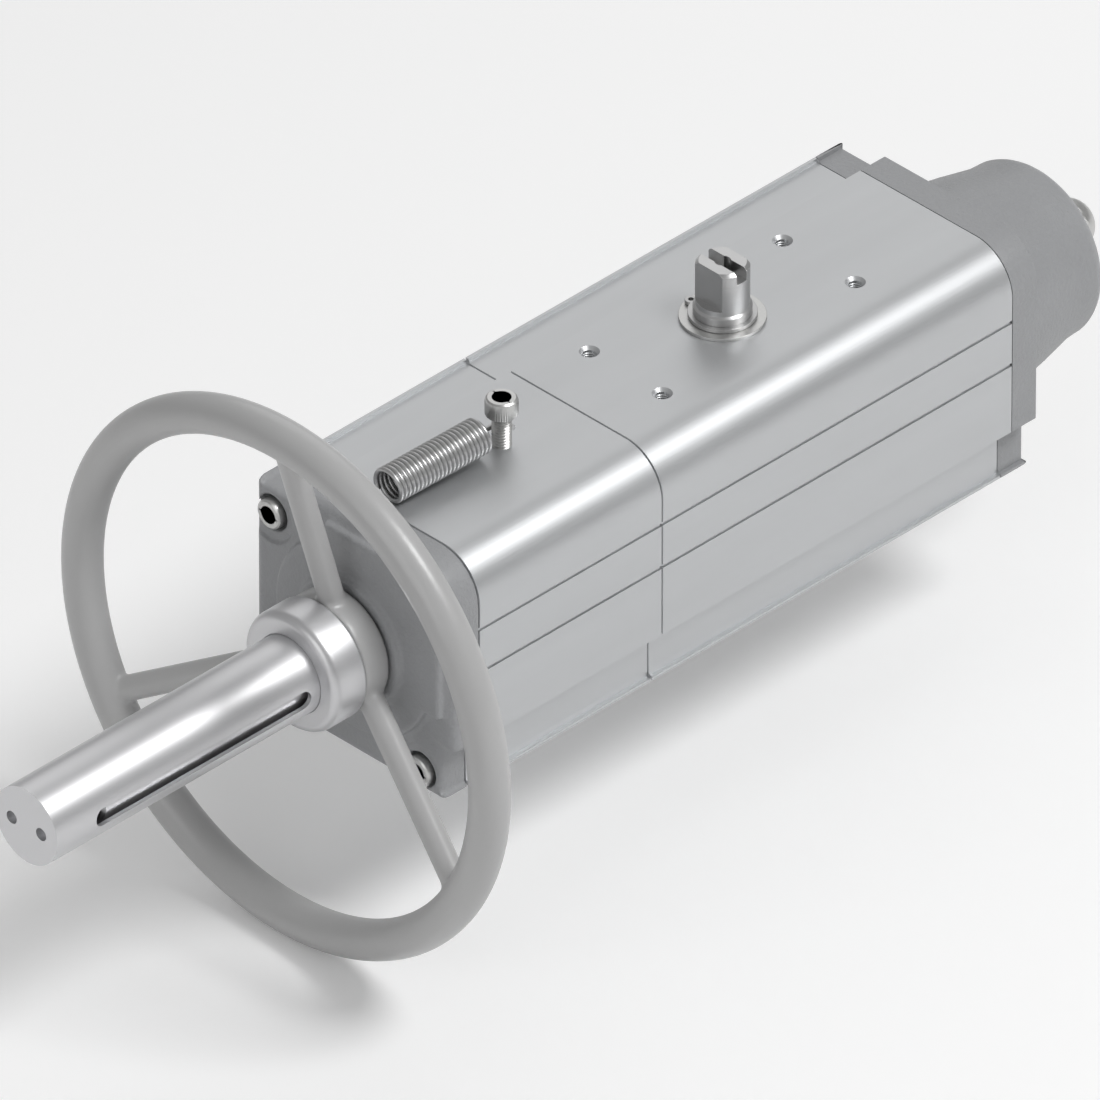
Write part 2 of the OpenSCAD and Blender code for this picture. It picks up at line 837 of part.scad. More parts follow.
module drive_shaft() {
    color("silver")
        difference() {
            union() {
                translate([0, 0, 0.3])
                    cylinder(h = 20, r = journal_r);
                translate([0, 0, 0.3])
                    cylinder(h = axis_h, r = neck_r);
                translate([0, 0, axis_h - pinion_half_h])
                    linear_extrude(height = 2 * pinion_half_h)
                        pinion_outline();
                cylinder(h = shoulder_z, r = neck_r);
                cylinder(h = top_z - 0.2, r = top_journal_r);
                cylinder(h = top_z + flat_z, r = stub_r);
                cylinder(h = top_z + shoulder_h, r = shoulder_r);
                translate([0, 0, top_z + shoulder_h])
                    cylinder(h = shoulder_r - stub_r, r1 = shoulder_r, r2 = stub_r);
                translate([0, 0, top_z + flat_z - 1])
                    intersection() {
                        union() {
                            cylinder(h = stub_h - flat_z, r = stub_r);
                            translate([0, 0, stub_h - flat_z])
                                cylinder(h = 1, r1 = stub_r, r2 = stub_r - 1);
                        }
                        translate([-flat_half, -stub_r, 0])
                            cube([2 * flat_half, 2 * stub_r, stub_h]);
                    }
            }
            translate([0, 0, -0.3])
                cylinder(h = 0.6, r = journal_r + 1);
            translate([-square_w / 2, -square_w / 2, -eps])
                cube([square_w, square_w, square_d + eps]);
            translate([-slot_w / 2, -stub_r - eps, top_z + stub_h - slot_d])
                cube([slot_w, 2 * stub_r + 2 * eps, slot_d + eps]);
            translate([0, 0, top_z + stub_h - 16])
                cylinder(h = 17, r = 2.5);
            shaft_groove(low_ring_z, journal_r - 2 * ring_cord_r + 0.2, 3);
            shaft_groove(top_ring_z, top_journal_r - 2 * top_cord_r + 0.15, 1.8);
            shaft_groove(circlip_z + circlip_h / 2, shoulder_r - 0.6, circlip_h + slide);
        }
}

// A groove round the shaft, centred at height z
module shaft_groove(z, inner, w) {
    translate([0, 0, z - w / 2])
        difference() {
            cylinder(h = w, r = journal_r + 1);
            translate([0, 0, -eps])
                cylinder(h = w + 2 * eps, r = inner);
        }
}

module shaft_circlip() {
    color("dimgray")
        translate([0, 0, circlip_z])
            difference() {
                union() {
                    cylinder(h = circlip_h, r = 10.3);
                    for (side = [-1, 1])
                        translate([side * 2.4, 10.6, 0])
                            cylinder(h = circlip_h, r = 1.9);
                }
                translate([0, 0, -eps])
                    cylinder(h = circlip_h + 2 * eps, r = shoulder_r - 0.55);
                translate([-0.9, 5, -eps])
                    cube([1.8, 10, circlip_h + 2 * eps]);
                for (side = [-1, 1])
                    translate([side * 2.4, 10.6, -eps])
                        cylinder(h = circlip_h + 2 * eps, r = 0.8);
            }
}

module shaft_rings() {
    color("dimgray") {
        translate([0, 0, low_ring_z])
            rotate_extrude()
                translate([journal_r - ring_cord_r + 0.3, 0])
                    circle(r = ring_cord_r, $fn = 24);
        translate([0, 0, top_ring_z])
            rotate_extrude()
                translate([top_journal_r - top_cord_r + 0.25, 0])
                    circle(r = top_cord_r, $fn = 24);
    }
}

// The left piston with its rack on the front side. gap_shift moves the rack's gaps by a
// share of the pitch, because the racks meet the odd pinion half a pitch apart.
module piston(gap_shift) {
    difference() {
        union() {
            rod_x(left_head, left_head + head_t, bore_r - fit_gap);
            translate([left_head + 1, -rack_back, axis_h - rack_half_h])
                cube([rack_reach - left_head - 1, rack_back - pitch_r + rack_add, 2 * rack_half_h]);
        }
        for (k = [-5 : 1])
            translate([(k + gap_shift) * rack_pitch, -pitch_r, axis_h - rack_half_h - eps])
                linear_extrude(height = 2 * rack_half_h + 2 * eps)
                    rack_gap();
        ring_groove_at(left_head + band_x, bore_r - band_t - 0.06, band_w + 0.1);
        ring_groove_at(left_head + cord_x, bore_r - 2 * piston_cord_r - 0.1, 3);
        translate([left_head + pad_x0, -rack_back - eps, axis_h - pad_half_h])
            cube([pad_x1 - pad_x0, pad_sink + eps, 2 * pad_half_h]);
    }
}

// A groove of width w round a piston, centred at x
module ring_groove_at(x, inner, w) {
    difference() {
        rod_x(x - w / 2, x + w / 2, bore_r + 1);
        rod_x(x - w, x + w, inner);
    }
}

module piston_ring() {
    ring_x(left_head + cord_x, bore_r - piston_cord_r - 0.05, piston_cord_r);
}

module piston_band() {
    difference() {
        rod_x(left_head + band_x - band_w / 2, left_head + band_x + band_w / 2, bore_r - 0.03);
        rod_x(left_head + band_x - band_w, left_head + band_x + band_w, bore_r - band_t);
    }
}

module rack_pad() {
    intersection() {
        rod_x(left_head + pad_x0, left_head + pad_x1, bore_r - 0.05);
        translate([left_head + pad_x0, -bore_r, axis_h - pad_half_h])
            cube([pad_x1 - pad_x0, bore_r - rack_back + pad_sink, 2 * pad_half_h]);
    }
}

module left_piston() {
    color("gainsboro")
        piston(0);
}

module left_piston_ring() {
    color("dimgray")
        piston_ring();
}

module left_piston_band() {
    color("ivory")
        piston_band();
}

module left_rack_pad() {
    color("ivory")
        rack_pad();
}

// The right side's pieces are the left side's, turned half round the shaft
module right_piston() {
    color("gainsboro")
        rotate([0, 0, 180])
            piston(0.5);
}

module right_piston_ring() {
    color("dimgray")
        rotate([0, 0, 180])
            piston_ring();
}

module right_piston_band() {
    color("ivory")
        rotate([0, 0, 180])
            piston_band();
}

module right_rack_pad() {
    color("ivory")
        rotate([0, 0, 180])
            rack_pad();
}

module stem() {
    color("silver")
        difference() {
            union() {
                turned_x([
                    [stem_end, 0], [stem_end, stem_r - 1], [stem_end + 1, stem_r],
                    [guide_x, stem_r], [guide_x, 0]
                ]);
                rod_x(guide_x - 1, guide_x + guide_t + stem_tail, pilot_r);
            }
            rod_x(
                guide_x + guide_t - rod_spigot_r, guide_x + guide_t + stem_tail + eps,
                rod_spigot_r + press
            );
        }
}

module guide_disc() {
    color("silver")
        difference() {
            rod_x(guide_x, guide_x + guide_t, cavity_r - 0.3);
            rod_x(guide_x - eps, guide_x + guide_t + eps, pilot_r + press);
            translate([guide_x - eps, -guide_key_w / 2, axis_h - cavity_r - eps])
                cube([guide_t + 2 * eps, guide_key_w, 5]);
            for (a = [0 : 60 : 300])
                translate([guide_x - eps, 0, axis_h])
                    rotate([a, 0, 0])
                        translate([0, 0, 19])
                            rotate([0, 90, 0])
                                cylinder(h = guide_t + 2 * eps, r = 4);
        }
}

module guide_key() {
    color("silver")
        translate([guide_x, -guide_key_w / 2, axis_h - cavity_r - 3.2])
            cube([guide_t, guide_key_w, 3.2 + 5 - eps]);
}

module guide_nut() {
    color("silver")
        translate([guide_x + guide_t, 0, axis_h])
            rotate([0, 90, 0])
                difference() {
                    cylinder(h = guide_nut_t, r = guide_nut_af / sqrt(3), $fn = 6);
                    translate([0, 0, -eps])
                        cylinder(h = guide_nut_t + 2 * eps, r = pilot_r + press);
                }
}

module push_rod() {
    color("silver")
        union() {
            rod_x(guide_x + guide_t - rod_spigot_r + slide, bulkhead_x, rod_spigot_r);
            rod_x(guide_x + guide_t + stem_tail, main_left, rod_r);
        }
}

module handwheel() {
    rim_x = cover_face - rim_out;
    root_x = collar_x + 0.53 * hub_len;
    root_r = nut_r + 2;
    color("dimgray")
        difference() {
            union() {
                turned_x([
                    [collar_x, 0], [collar_x, hub_r - 0.6], [collar_x + 0.6, hub_r],
                    [hub_x - 0.8, hub_r], [hub_x, hub_r - 0.8], [hub_x, 0]
                ]);
                for (i = [0 : spokes - 1])
                    let (a = 90 + i * 360 / spokes, c = cos(a), s = sin(a))
                    bar(
                        [root_x, root_r * c, axis_h + root_r * s],
                        [rim_x, rim_r * c, axis_h + rim_r * s],
                        spoke_r
                    );
                ring_x_fine(rim_x, rim_r, rim_tube_r);
            }
            rod_x(collar_x - eps, hub_x + eps, nut_r + 0.03);
            translate([collar_x - eps, -key_w / 2, axis_h + nut_r - eps])
                cube([key_len + slide + eps, key_w, key_w / 2 + eps]);
        }
}

// A ring about the cylinder axis with a finely rounded section
module ring_x_fine(x, r, cord) {
    translate([x, 0, axis_h])
        rotate([0, 90, 0])
            rotate_extrude($fn = 128)
                translate([r, 0])
                    circle(r = cord, $fn = 48);
}

module drive_nut() {
    color("darkgoldenrod")
        difference() {
            union() {
                rod_x(nut_end, nut_shoulder_x + washer_t + slide + 1, nut_r);
                rod_x(
                    nut_shoulder_x + washer_t + slide,
                    nut_shoulder_x + washer_t + slide + nut_flange_t,
                    nut_flange_r
                );
            }
            rod_x(nut_end - eps, nut_shoulder_x + 20, stem_r + fit_gap);
            translate([collar_x, -key_w / 2, axis_h + nut_r - key_w / 2])
                cube([key_len + slide, key_w, key_w]);
        }
}

module hub_key() {
    color("silver")
        translate([collar_x, press - key_w / 2, axis_h + nut_r - key_w / 2])
            cube([key_len, key_w - 2 * press, key_w - slide]);
}

module clamp_collar() {
    color("silver")
        difference() {
            turned_x(concat(
                [[collar_x, 0], [collar_x, collar_r - 0.5], [collar_x - 0.5, collar_r]],
                [for (a = [0 : 15 : 90])
                    [tube_x + collar_edge * (1 - sin(a)), collar_r - collar_edge * (1 - cos(a))]],
                [[tube_x, 0]]
            ));
            rod_x(nut_end - 2, collar_x + eps, nut_r + 0.03);
            rod_x(tube_x - eps, nut_end, tube_r + 0.03);
        }
}

module spindle_cover() {
    end_wall = 4;
    slot_end = tube_x - sight_start - sight_w / 2;
    slot_far = slot_end - sight_len + sight_w;
    color("silver")
        difference() {
            union() {
                rod_x(tube_end, nut_end, tube_r);
                rod_x(nut_end - 1.97, nut_end, nut_r - 0.05);
            }
            rod_x(tube_end + end_wall, nut_end + eps, tube_r - tube_wall);
            for (x = [slot_far, slot_end])
                translate([x, 0, axis_h])
                    rotate([90, 0, 0])
                        cylinder(h = tube_r + 1, r = sight_w / 2);
            translate([slot_far, -tube_r - 1, axis_h - sight_w / 2])
                cube([slot_end - slot_far, tube_r + 1, sight_w]);
            for (side = [-1, 1])
                translate([tube_end - eps, side * spanner_pitch / 2, axis_h])
                    rotate([0, 90, 0])
                        cylinder(h = 3 + eps, r = spanner_r);
        }
}

main_housing();
lower_bush();
upper_bush();
shaft_washer();
right_cap();
right_cap_ring();
cap_screws();
stop_screw();
stop_washer();
stop_cap_nut();
extension_housing();
bulkhead();
bulkhead_ring();
rod_seal();
left_cover();
cover_ring();
tie_screws();
nut_retainer();
thrust_washers();
spring_screw();
tension_spring();
drive_shaft();
shaft_circlip();
shaft_rings();
left_piston();
left_piston_ring();
left_piston_band();
left_rack_pad();
right_piston();
right_piston_ring();
right_piston_band();
right_rack_pad();
stem();
guide_disc();
guide_key();
guide_nut();
push_rod();
handwheel();
drive_nut();
hub_key();
clamp_collar();
spindle_cover();
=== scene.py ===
"""Dresses the quarter-turn actuator with its handwheel in cast, turned and plated finishes."""

import math

import bmesh
import bpy
from mathutils import Matrix, Vector


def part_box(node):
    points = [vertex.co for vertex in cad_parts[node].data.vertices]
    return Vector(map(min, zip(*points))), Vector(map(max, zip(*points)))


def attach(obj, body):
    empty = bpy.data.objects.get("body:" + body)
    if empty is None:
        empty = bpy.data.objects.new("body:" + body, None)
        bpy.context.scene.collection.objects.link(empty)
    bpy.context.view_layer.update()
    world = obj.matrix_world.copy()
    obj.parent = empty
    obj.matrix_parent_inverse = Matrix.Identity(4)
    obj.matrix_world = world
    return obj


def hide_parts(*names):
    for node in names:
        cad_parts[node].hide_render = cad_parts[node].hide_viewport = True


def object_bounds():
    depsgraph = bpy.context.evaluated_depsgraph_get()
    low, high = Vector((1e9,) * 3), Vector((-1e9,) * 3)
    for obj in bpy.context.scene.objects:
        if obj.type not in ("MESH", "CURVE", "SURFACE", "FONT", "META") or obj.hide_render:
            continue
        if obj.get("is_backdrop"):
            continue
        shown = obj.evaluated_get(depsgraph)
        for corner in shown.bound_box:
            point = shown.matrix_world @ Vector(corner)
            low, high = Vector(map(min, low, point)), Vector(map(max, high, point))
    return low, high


bl_info = {
    "name": "Quarter-turn actuator",
    "version": (1, 0, 0),
    "blender": (4, 5, 0),
    "location": "3D View > Sidebar > Actuator",
    "description": "Builds the dressed pieces of a pneumatic quarter-turn actuator",
    "category": "Object",
}

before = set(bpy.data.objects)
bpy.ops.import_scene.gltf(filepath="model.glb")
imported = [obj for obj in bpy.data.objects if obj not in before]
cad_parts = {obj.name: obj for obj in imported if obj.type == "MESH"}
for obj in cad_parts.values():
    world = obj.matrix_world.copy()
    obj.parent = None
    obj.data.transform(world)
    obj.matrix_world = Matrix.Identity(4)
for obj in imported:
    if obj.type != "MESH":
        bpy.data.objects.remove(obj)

MM = 0.001


def node_box(name):
    """The lowest and highest corner of a solid of the frame, in millimetres."""
    low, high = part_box(name)
    return low / MM, high / MM


housing_low, housing_high = node_box("main_housing")
extension_low = node_box("extension_housing")[0]
cap_high = node_box("right_cap")[1]
cover_low = node_box("left_cover")[0]
collar_high = node_box("clamp_collar")[1]
wheel_low, wheel_high = node_box("handwheel")
cap_nut_low, cap_nut_high = node_box("stop_cap_nut")
spring_screw_low, spring_screw_high = node_box("spring_screw")
screws_low, screws_high = node_box("tie_screws")
cap_screws_low, cap_screws_high = node_box("cap_screws")


def millimetres(name, description, default, low=0, high=100):
    """A size that a user may change, in millimetres."""
    return bpy.props.FloatProperty(
        name=name, description=description, default=default, min=low, max=high)


def count(name, description, default, low, high):
    """A number of like things that a user may change."""
    return bpy.props.IntProperty(
        name=name, description=description, default=default, min=low, max=high)


def share(name, description, default):
    """A part of a length, from 0 to 1."""
    return bpy.props.FloatProperty(
        name=name, description=description, subtype="FACTOR", default=default, min=0, max=1)


def colour_of(name, description, default):
    """A base colour that a user may change."""
    return bpy.props.FloatVectorProperty(
        name=name, description=description, subtype="COLOR", default=default, min=0, max=1)


class ActuatorHousingSizes(bpy.types.PropertyGroup):
    """Sizes of the extruded section, in millimetres"""

    axis_height: millimetres(
        "Axis height", "Height of the cylinder axis above the valve face",
        (wheel_low.z + wheel_high.z) / 2, 30, 80)
    front: millimetres(
        "Front half size", "Distance from the cylinder axis to the front and the top",
        -housing_low.y, 30, 60)
    back: millimetres(
        "Back half size", "Distance from the cylinder axis to the back and the bottom",
        housing_high.y, 30, 60)
    edge_radius: millimetres("Edge radius", "Radius of the front top edge", 15, 5, 20)
    strip_start: millimetres(
        "Strip start", "Offset from the axis where the recessed strips start", 24.2, 20, 30)
    strip_drop: millimetres("Strip drop", "Depth of the strips' lip below the face", 4.5, 2, 8)
    lip_width: millimetres("Lip width", "Width of the strips' lip", 1, 0.5, 3)
    strip_floor: millimetres("Strip floor", "Depth of the strips' floor below the lip", 1.4, 0.5, 3)
    edge_break: millimetres("Edge break", "Width of the broken edges on the sections", 0.45, 0.05, 1)
    joint_width: millimetres(
        "Joint width", "Length of the chamfer at the ends of the sections", 0.35, 0.05, 1)
    joint_depth: millimetres(
        "Joint depth", "Depth of the chamfer at the ends of the sections", 0.9, 0.05, 2)


class ActuatorCastingSizes(bpy.types.PropertyGroup):
    """Sizes of the end castings, in millimetres"""

    plate_thickness: millimetres("Cover thickness", "Thickness of the left cover's plate", 11.4, 8, 16)
    pad_height: millimetres("Pad height", "Height of the pad on the left cover", 2.8, 1, 5)
    cover_round: millimetres("Cover rounding", "Rounding of the left cover's outer edge", 3.4, 1, 5)
    pad_inset: millimetres("Pad inset", "Distance of the left cover's pad from the plate's edge", 3, 2, 6)
    pad_radius: millimetres("Pad radius", "Radius of the pad at the back and the bottom", 31.8, 28, 34)
    pad_reach: millimetres(
        "Pad reach", "Distance past the axis to which the pad keeps its full width", 12, 6, 18)
    pad_round: millimetres("Pad rounding", "Rounding of the pad's edge", 1.2, 0.5, 2)
    pad_fillet: millimetres("Pad fillet", "Fillet at the foot of the pad", 0.9, 0.3, 1.5)
    pocket_radius: millimetres("Pocket radius", "Radius of the cast pocket round a cover screw", 9.4, 7, 12)
    pocket_depth: millimetres("Pocket depth", "Depth of the cast pocket round a cover screw", 1.2, 0.5, 2)
    bore_radius: millimetres("Counterbore radius", "Radius of a counterbore for a screw head", 5.9, 5.2, 7)
    boss_radius: millimetres("Boss radius", "Radius of the left cover's boss", 21, 18, 26)
    boss_foot: millimetres("Boss foot", "Width of the step round the boss's foot", 1.2, 0.5, 3)
    nut_bore: millimetres("Drive nut bore", "Radius of the left cover's bore for the nut", 14.06, 12, 16)
    flange_round: millimetres("Flange round", "Radius round the right flange's outer face", 0.8, 0.1, 1.5)
    dome_base: millimetres("Dome radius", "Radius of the right cap's dome at its flange", 34, 30, 37)
    dome_fillet: millimetres("Dome fillet", "Fillet between the dome and its flange", 1.6, 0.5, 4)
    dome_wall: millimetres("Dome wall", "Wall of the dome", 6, 3, 8)
    dome_waist: millimetres("Dome waist", "Radius of the dome four tenths of its length out", 31.3, 27, 34)
    dome_shoulder: millimetres(
        "Dome shoulder", "Radius of the dome where its end rounding starts", 28.8, 25, 33)
    waist_share: share("Waist place", "Part of the dome's length at which its waist lies", 0.41)
    shoulder_share: share("Shoulder place", "Part of the dome's length at which its shoulder lies", 0.7)
    dome_round: millimetres("Dome rounding", "Radius of the rounding at the dome's end", 8.5, 3, 12)
    grain: millimetres(
        "Casting grain", "Cell size that the castings' fillets are flowed with", 0.55, 0.4, 1.5)


class ActuatorHandwheelSizes(bpy.types.PropertyGroup):
    """Sizes of the handwheel, in millimetres"""

    rim_radius: millimetres("Rim radius", "Radius of the rim's centre line", 84, 60, 120)
    rim_thickness: millimetres("Rim tube radius", "Radius of the rim's round section", 6.3, 4, 9)
    spoke_radius: millimetres("Spoke radius", "Radius of a spoke", 4, 3, 6)
    spokes: count("Spokes", "Number of spokes", 3, 2, 6)
    root_share: share("Spoke root", "Part of the hub's length at which the spokes start", 0.53)
    hub_radius: millimetres("Hub radius", "Radius of the wheel's hub", 18.8, 14, 25)
    shaft_radius: millimetres("Hub bore", "Radius of the hub's bore", 14.03, 10, 16)
    grain: millimetres("Casting grain", "Cell size that the wheel's fillets are flowed with", 0.7, 0.5, 1.5)


class ActuatorFastenerSizes(bpy.types.PropertyGroup):
    """Sizes of the screws, the cap nut and the spring, in millimetres"""

    head_radius: millimetres("Head radius", "Radius of an M6 socket head", 5, 4, 6)
    head_height: millimetres("Head height", "Height of an M6 socket head", 6, 4, 7)
    flange_recess: millimetres(
        "Cap screw recess", "Depth of the cap screws' heads below the flange", 0.5, 0, 2)
    shank_radius: millimetres("Shank radius", "Radius of an M6 thread", 3, 2, 4)
    thread_pitch: millimetres("Thread pitch", "Pitch of an M6 thread", 1, 0.5, 1.5)
    thread_depth: millimetres("Thread depth", "Depth of an M6 thread", 0.5, 0.2, 0.8)
    socket_flats: millimetres("Socket across flats", "Hexagon socket of an M6 screw", 5, 3, 6)
    socket_depth: millimetres("Socket depth", "Depth of the hexagon socket", 3.2, 2, 4)
    knurl_ribs: count("Knurl ribs", "Ribs round one sixth of a socket head", 7, 4, 12)
    knurl_depth: millimetres("Knurl depth", "Depth between the ribs of a socket head", 0.18, 0.05, 0.4)
    stop_radius: millimetres("Stop screw radius", "Radius of the travel stop's screw", 5.02, 4, 6)
    nut_flats: millimetres("Cap nut across flats", "Hexagon of the cap nut", 18, 13, 19)
    nut_height: millimetres("Cap nut hexagon", "Height of the cap nut's hexagon", 9.4, 8, 12)
    nut_dome: millimetres("Cap nut dome", "Radius of the cap nut's dome", 8.6, 6, 9)
    spring_radius: millimetres("Spring radius", "Outer radius of the extension spring", 6, 4, 8)
    wire_radius: millimetres("Wire radius", "Radius of the spring wire", 0.8, 0.5, 1.2)
    spring_turns: count("Spring turns", "Number of close wound turns", 23, 10, 40)
    turn_pitch: millimetres("Turn pitch", "Distance from one turn of the spring to the next", 1.552, 1, 3)
    spring_gap: millimetres("Spring gap", "Distance from the coil's end to its screw", 9, 4, 15)
    hook_angle: count("Hook angle", "Degrees that the wire is bent round the screw", 110, 90, 180)
    spring_rise: millimetres("Spring rise", "Rise of the coil's axis towards its screw", 1.6, 0, 4)
    spring_lean: millimetres("Spring lean", "Sideways run of the coil's axis", 2.2, 0, 4)


class ActuatorTappedHoles(bpy.types.PropertyGroup):
    """Places and sizes of the tapped holes, in millimetres"""

    top_length: millimetres("Top spacing along X", "Spacing of the top holes along the cylinder", 80)
    top_width: millimetres("Top spacing along Y", "Spacing of the top holes across the cylinder", 30)
    port_spacing: millimetres("Port spacing", "Distance between the two air ports", 24)
    port_screw_length: millimetres("Port screws along X", "Spacing of the port face's screws along X", 32)
    port_screw_height: millimetres("Port screws along Z", "Spacing of the port face's screws along Z", 24)
    small_circle: millimetres("Small bolt circle", "Diameter of the small valve bolt circle", 50)
    large_circle: millimetres("Large bolt circle", "Diameter of the large valve bolt circle", 70)
    m5_radius: millimetres("M5 core", "Core radius of an M5 hole", 2.1)
    m6_radius: millimetres("M6 core", "Core radius of an M6 hole", 2.5)
    m8_radius: millimetres("M8 core", "Core radius of an M8 hole", 3.4)
    port_radius: millimetres("Port core", "Core radius of an air port", 5.9)


class ActuatorFinishColours(bpy.types.PropertyGroup):
    """Base colours of the finishes"""

    housing: colour_of("Anodised section", "Colour of the anodised housing section", (0.60, 0.61, 0.62))
    casting: colour_of("Coated casting", "Colour of the powder coated castings", (0.33, 0.335, 0.345))
    wheel: colour_of("Handwheel enamel", "Colour of the handwheel's enamel", (0.46, 0.46, 0.46))
    plated: colour_of("Zinc plate", "Colour of zinc plated steel", (0.66, 0.66, 0.65))
    steel: colour_of("Turned steel", "Colour of bare turned steel", (0.60, 0.60, 0.60))
    floor: colour_of("Floor", "Colour of the studio floor", (0.97, 0.97, 0.97))


class Signal:
    """A socket of a finish's node tree. Arithmetic on it adds Math nodes."""

    def __init__(self, tree, socket):
        self.tree = tree
        self.socket = socket

    def _math(self, operation, *values):
        node = self.tree.nodes.new("ShaderNodeMath")
        node.operation = operation
        for slot, value in zip(node.inputs, values):
            if isinstance(value, Signal):
                self.tree.links.new(value.socket, slot)
            else:
                slot.default_value = value
        return Signal(self.tree, node.outputs[0])

    def __add__(self, other):
        return self._math("ADD", self, other)

    def __radd__(self, other):
        return self._math("ADD", other, self)

    def __sub__(self, other):
        return self._math("SUBTRACT", self, other)

    def __rsub__(self, other):
        return self._math("SUBTRACT", other, self)

    def __mul__(self, other):
        return self._math("MULTIPLY", self, other)

    def __rmul__(self, other):
        return self._math("MULTIPLY", other, self)


class Finish:
    """A Principled material whose extra nodes all come from its add method."""

    def __init__(self, name, metallic, roughness, coat=0.0):
        self.material = bpy.data.materials.new(name)
        self.material.use_nodes = True
        self.tree = self.material.node_tree
        self.shader = self.tree.nodes["Principled BSDF"]
        self.shader.inputs["Metallic"].default_value = metallic
        self.shader.inputs["Roughness"].default_value = roughness
        self.shader.inputs["Coat Weight"].default_value = coat
        self.shader.inputs["Coat Roughness"].default_value = 0.25

    def add(self, kind, settings, sockets, output=0):
        """Adds a node of that type, sets it, fills its sockets and returns the output as a Signal."""
        node = self.tree.nodes.new(kind)
        for key, value in settings.items():
            setattr(node, key, value)
        for key, value in sockets.items():
            self.feed(node.inputs[key], value)
        return Signal(self.tree, node.outputs[output])

    def feed(self, socket, value):
        """Links a Signal to a socket, or sets the socket's own value."""
        if isinstance(value, Signal):
            self.tree.links.new(value.socket, socket)
        else:
            socket.default_value = value

    def place(self, stretch=(1.0, 1.0, 1.0)):
        """The point on the piece in metres, stretched along each axis."""
        point = self.add("ShaderNodeTexCoord", {}, {}, "Object")
        return self.add("ShaderNodeMapping", {}, {"Vector": point, "Scale": stretch})

    def noise(self, vector, scale, detail=2.0, rough=0.5):
        """Fractal noise from 0 to 1 at that many cells per metre."""
        return self.add("ShaderNodeTexNoise", {}, {
            "Vector": vector, "Scale": scale, "Detail": detail, "Roughness": rough})

    def tint(self, factor, dark, light):
        """Blends two colours by a factor from 0 to 1 and feeds the base colour."""
        first, second, result = 6, 7, 2
        blend = self.add("ShaderNodeMix", {"data_type": "RGBA"}, {
            "Factor": factor, first: (*dark, 1), second: (*light, 1)}, result)
        self.feed(self.shader.inputs["Base Color"], blend)

    def gloss(self, roughness):
        """Feeds the roughness."""
        self.feed(self.shader.inputs["Roughness"], roughness)

    def relief(self, height, distance, strength=1.0):
        """Feeds a bump of that distance in metres."""
        bump = self.add("ShaderNodeBump", {}, {
            "Height": height, "Distance": distance, "Strength": strength})
        self.feed(self.shader.inputs["Normal"], bump)


def shade(colour, factor):
    """The colour made lighter or darker, within 0 to 1."""
    return tuple(min(1.0, part * factor) for part in colour)


def anodised_section(colour):
    """Extruded aluminium with die lines along the cylinder under a satin anodised skin."""
    finish = Finish("anodised_section", metallic=0.85, roughness=0.42)
    lines = finish.noise(finish.place((0.02, 1, 1)), 2600, 3, 0.6)
    broad = finish.noise(finish.place((0.15, 1, 1)), 90, 2)
    grain = finish.noise(finish.place(), 5200, 2)
    finish.tint(lines * 0.35 + broad * 0.65, shade(colour, 0.93), shade(colour, 1.05))
    finish.gloss(0.32 + lines * 0.12 + grain * 0.08)
    finish.relief(lines * 0.7 + grain * 0.3, 0.00004, 0.6)
    return finish.material


def coated_casting(colour):
    """Powder coated die casting with a fine orange peel."""
    finish = Finish("coated_casting", metallic=0.0, roughness=0.45, coat=0.15)
    peel = finish.noise(finish.place(), 750, 2, 0.55)
    pores = finish.noise(finish.place(), 3600, 2, 0.6)
    broad = finish.noise(finish.place(), 45, 3)
    finish.tint(broad * 0.6 + peel * 0.4, shade(colour, 0.88), shade(colour, 1.1))
    finish.gloss(0.36 + peel * 0.16 + pores * 0.08)
    finish.relief(peel * 0.75 + pores * 0.25, 0.0005, 0.8)
    return finish.material


def wheel_enamel(colour):
    """Smooth stove enamel on the cast handwheel."""
    finish = Finish("wheel_enamel", metallic=0.0, roughness=0.3, coat=0.35)
    peel = finish.noise(finish.place(), 420, 2, 0.5)
    broad = finish.noise(finish.place(), 30, 3)
    finish.tint(broad, shade(colour, 0.96), shade(colour, 1.04))
    finish.gloss(0.26 + peel * 0.12 + broad * 0.08)
    finish.relief(peel, 0.00015, 0.35)
    return finish.material


def turned_steel(colour):
    """Bare steel with fine turning marks round the cylinder axis."""
    finish = Finish("turned_steel", metallic=1.0, roughness=0.3)
    marks = finish.noise(finish.place((1, 0.03, 0.03)), 5200, 3, 0.65)
    broad = finish.noise(finish.place(), 60, 3)
    finish.tint(marks * 0.4 + broad * 0.6, shade(colour, 0.9), shade(colour, 1.06))
    finish.gloss(0.22 + marks * 0.14 + broad * 0.06)
    finish.relief(marks, 0.00003, 0.6)
    return finish.material


def ground_shaft_steel(colour):
    """Nickel plated shaft with marks round its upright axis."""
    finish = Finish("ground_shaft_steel", metallic=1.0, roughness=0.28)
    marks = finish.noise(finish.place((0.05, 0.05, 1)), 4200, 3, 0.6)
    broad = finish.noise(finish.place(), 110, 3)
    finish.tint(marks * 0.4 + broad * 0.6, shade(colour, 0.9), shade(colour, 1.08))
    finish.gloss(0.2 + marks * 0.16 + broad * 0.06)
    finish.relief(marks, 0.00003, 0.5)
    return finish.material


def zinc_plate(colour):
    """Clear passivated zinc on steel fasteners."""
    finish = Finish("zinc_plate", metallic=1.0, roughness=0.34)
    spangle = finish.noise(finish.place(), 900, 3, 0.6)
    fine = finish.noise(finish.place(), 6000, 2)
    finish.tint(spangle, shade(colour, 0.86), shade(colour, 1.08))
    finish.gloss(0.26 + spangle * 0.14 + fine * 0.06)
    finish.relief(spangle * 0.5 + fine * 0.5, 0.00003, 0.5)
    return finish.material


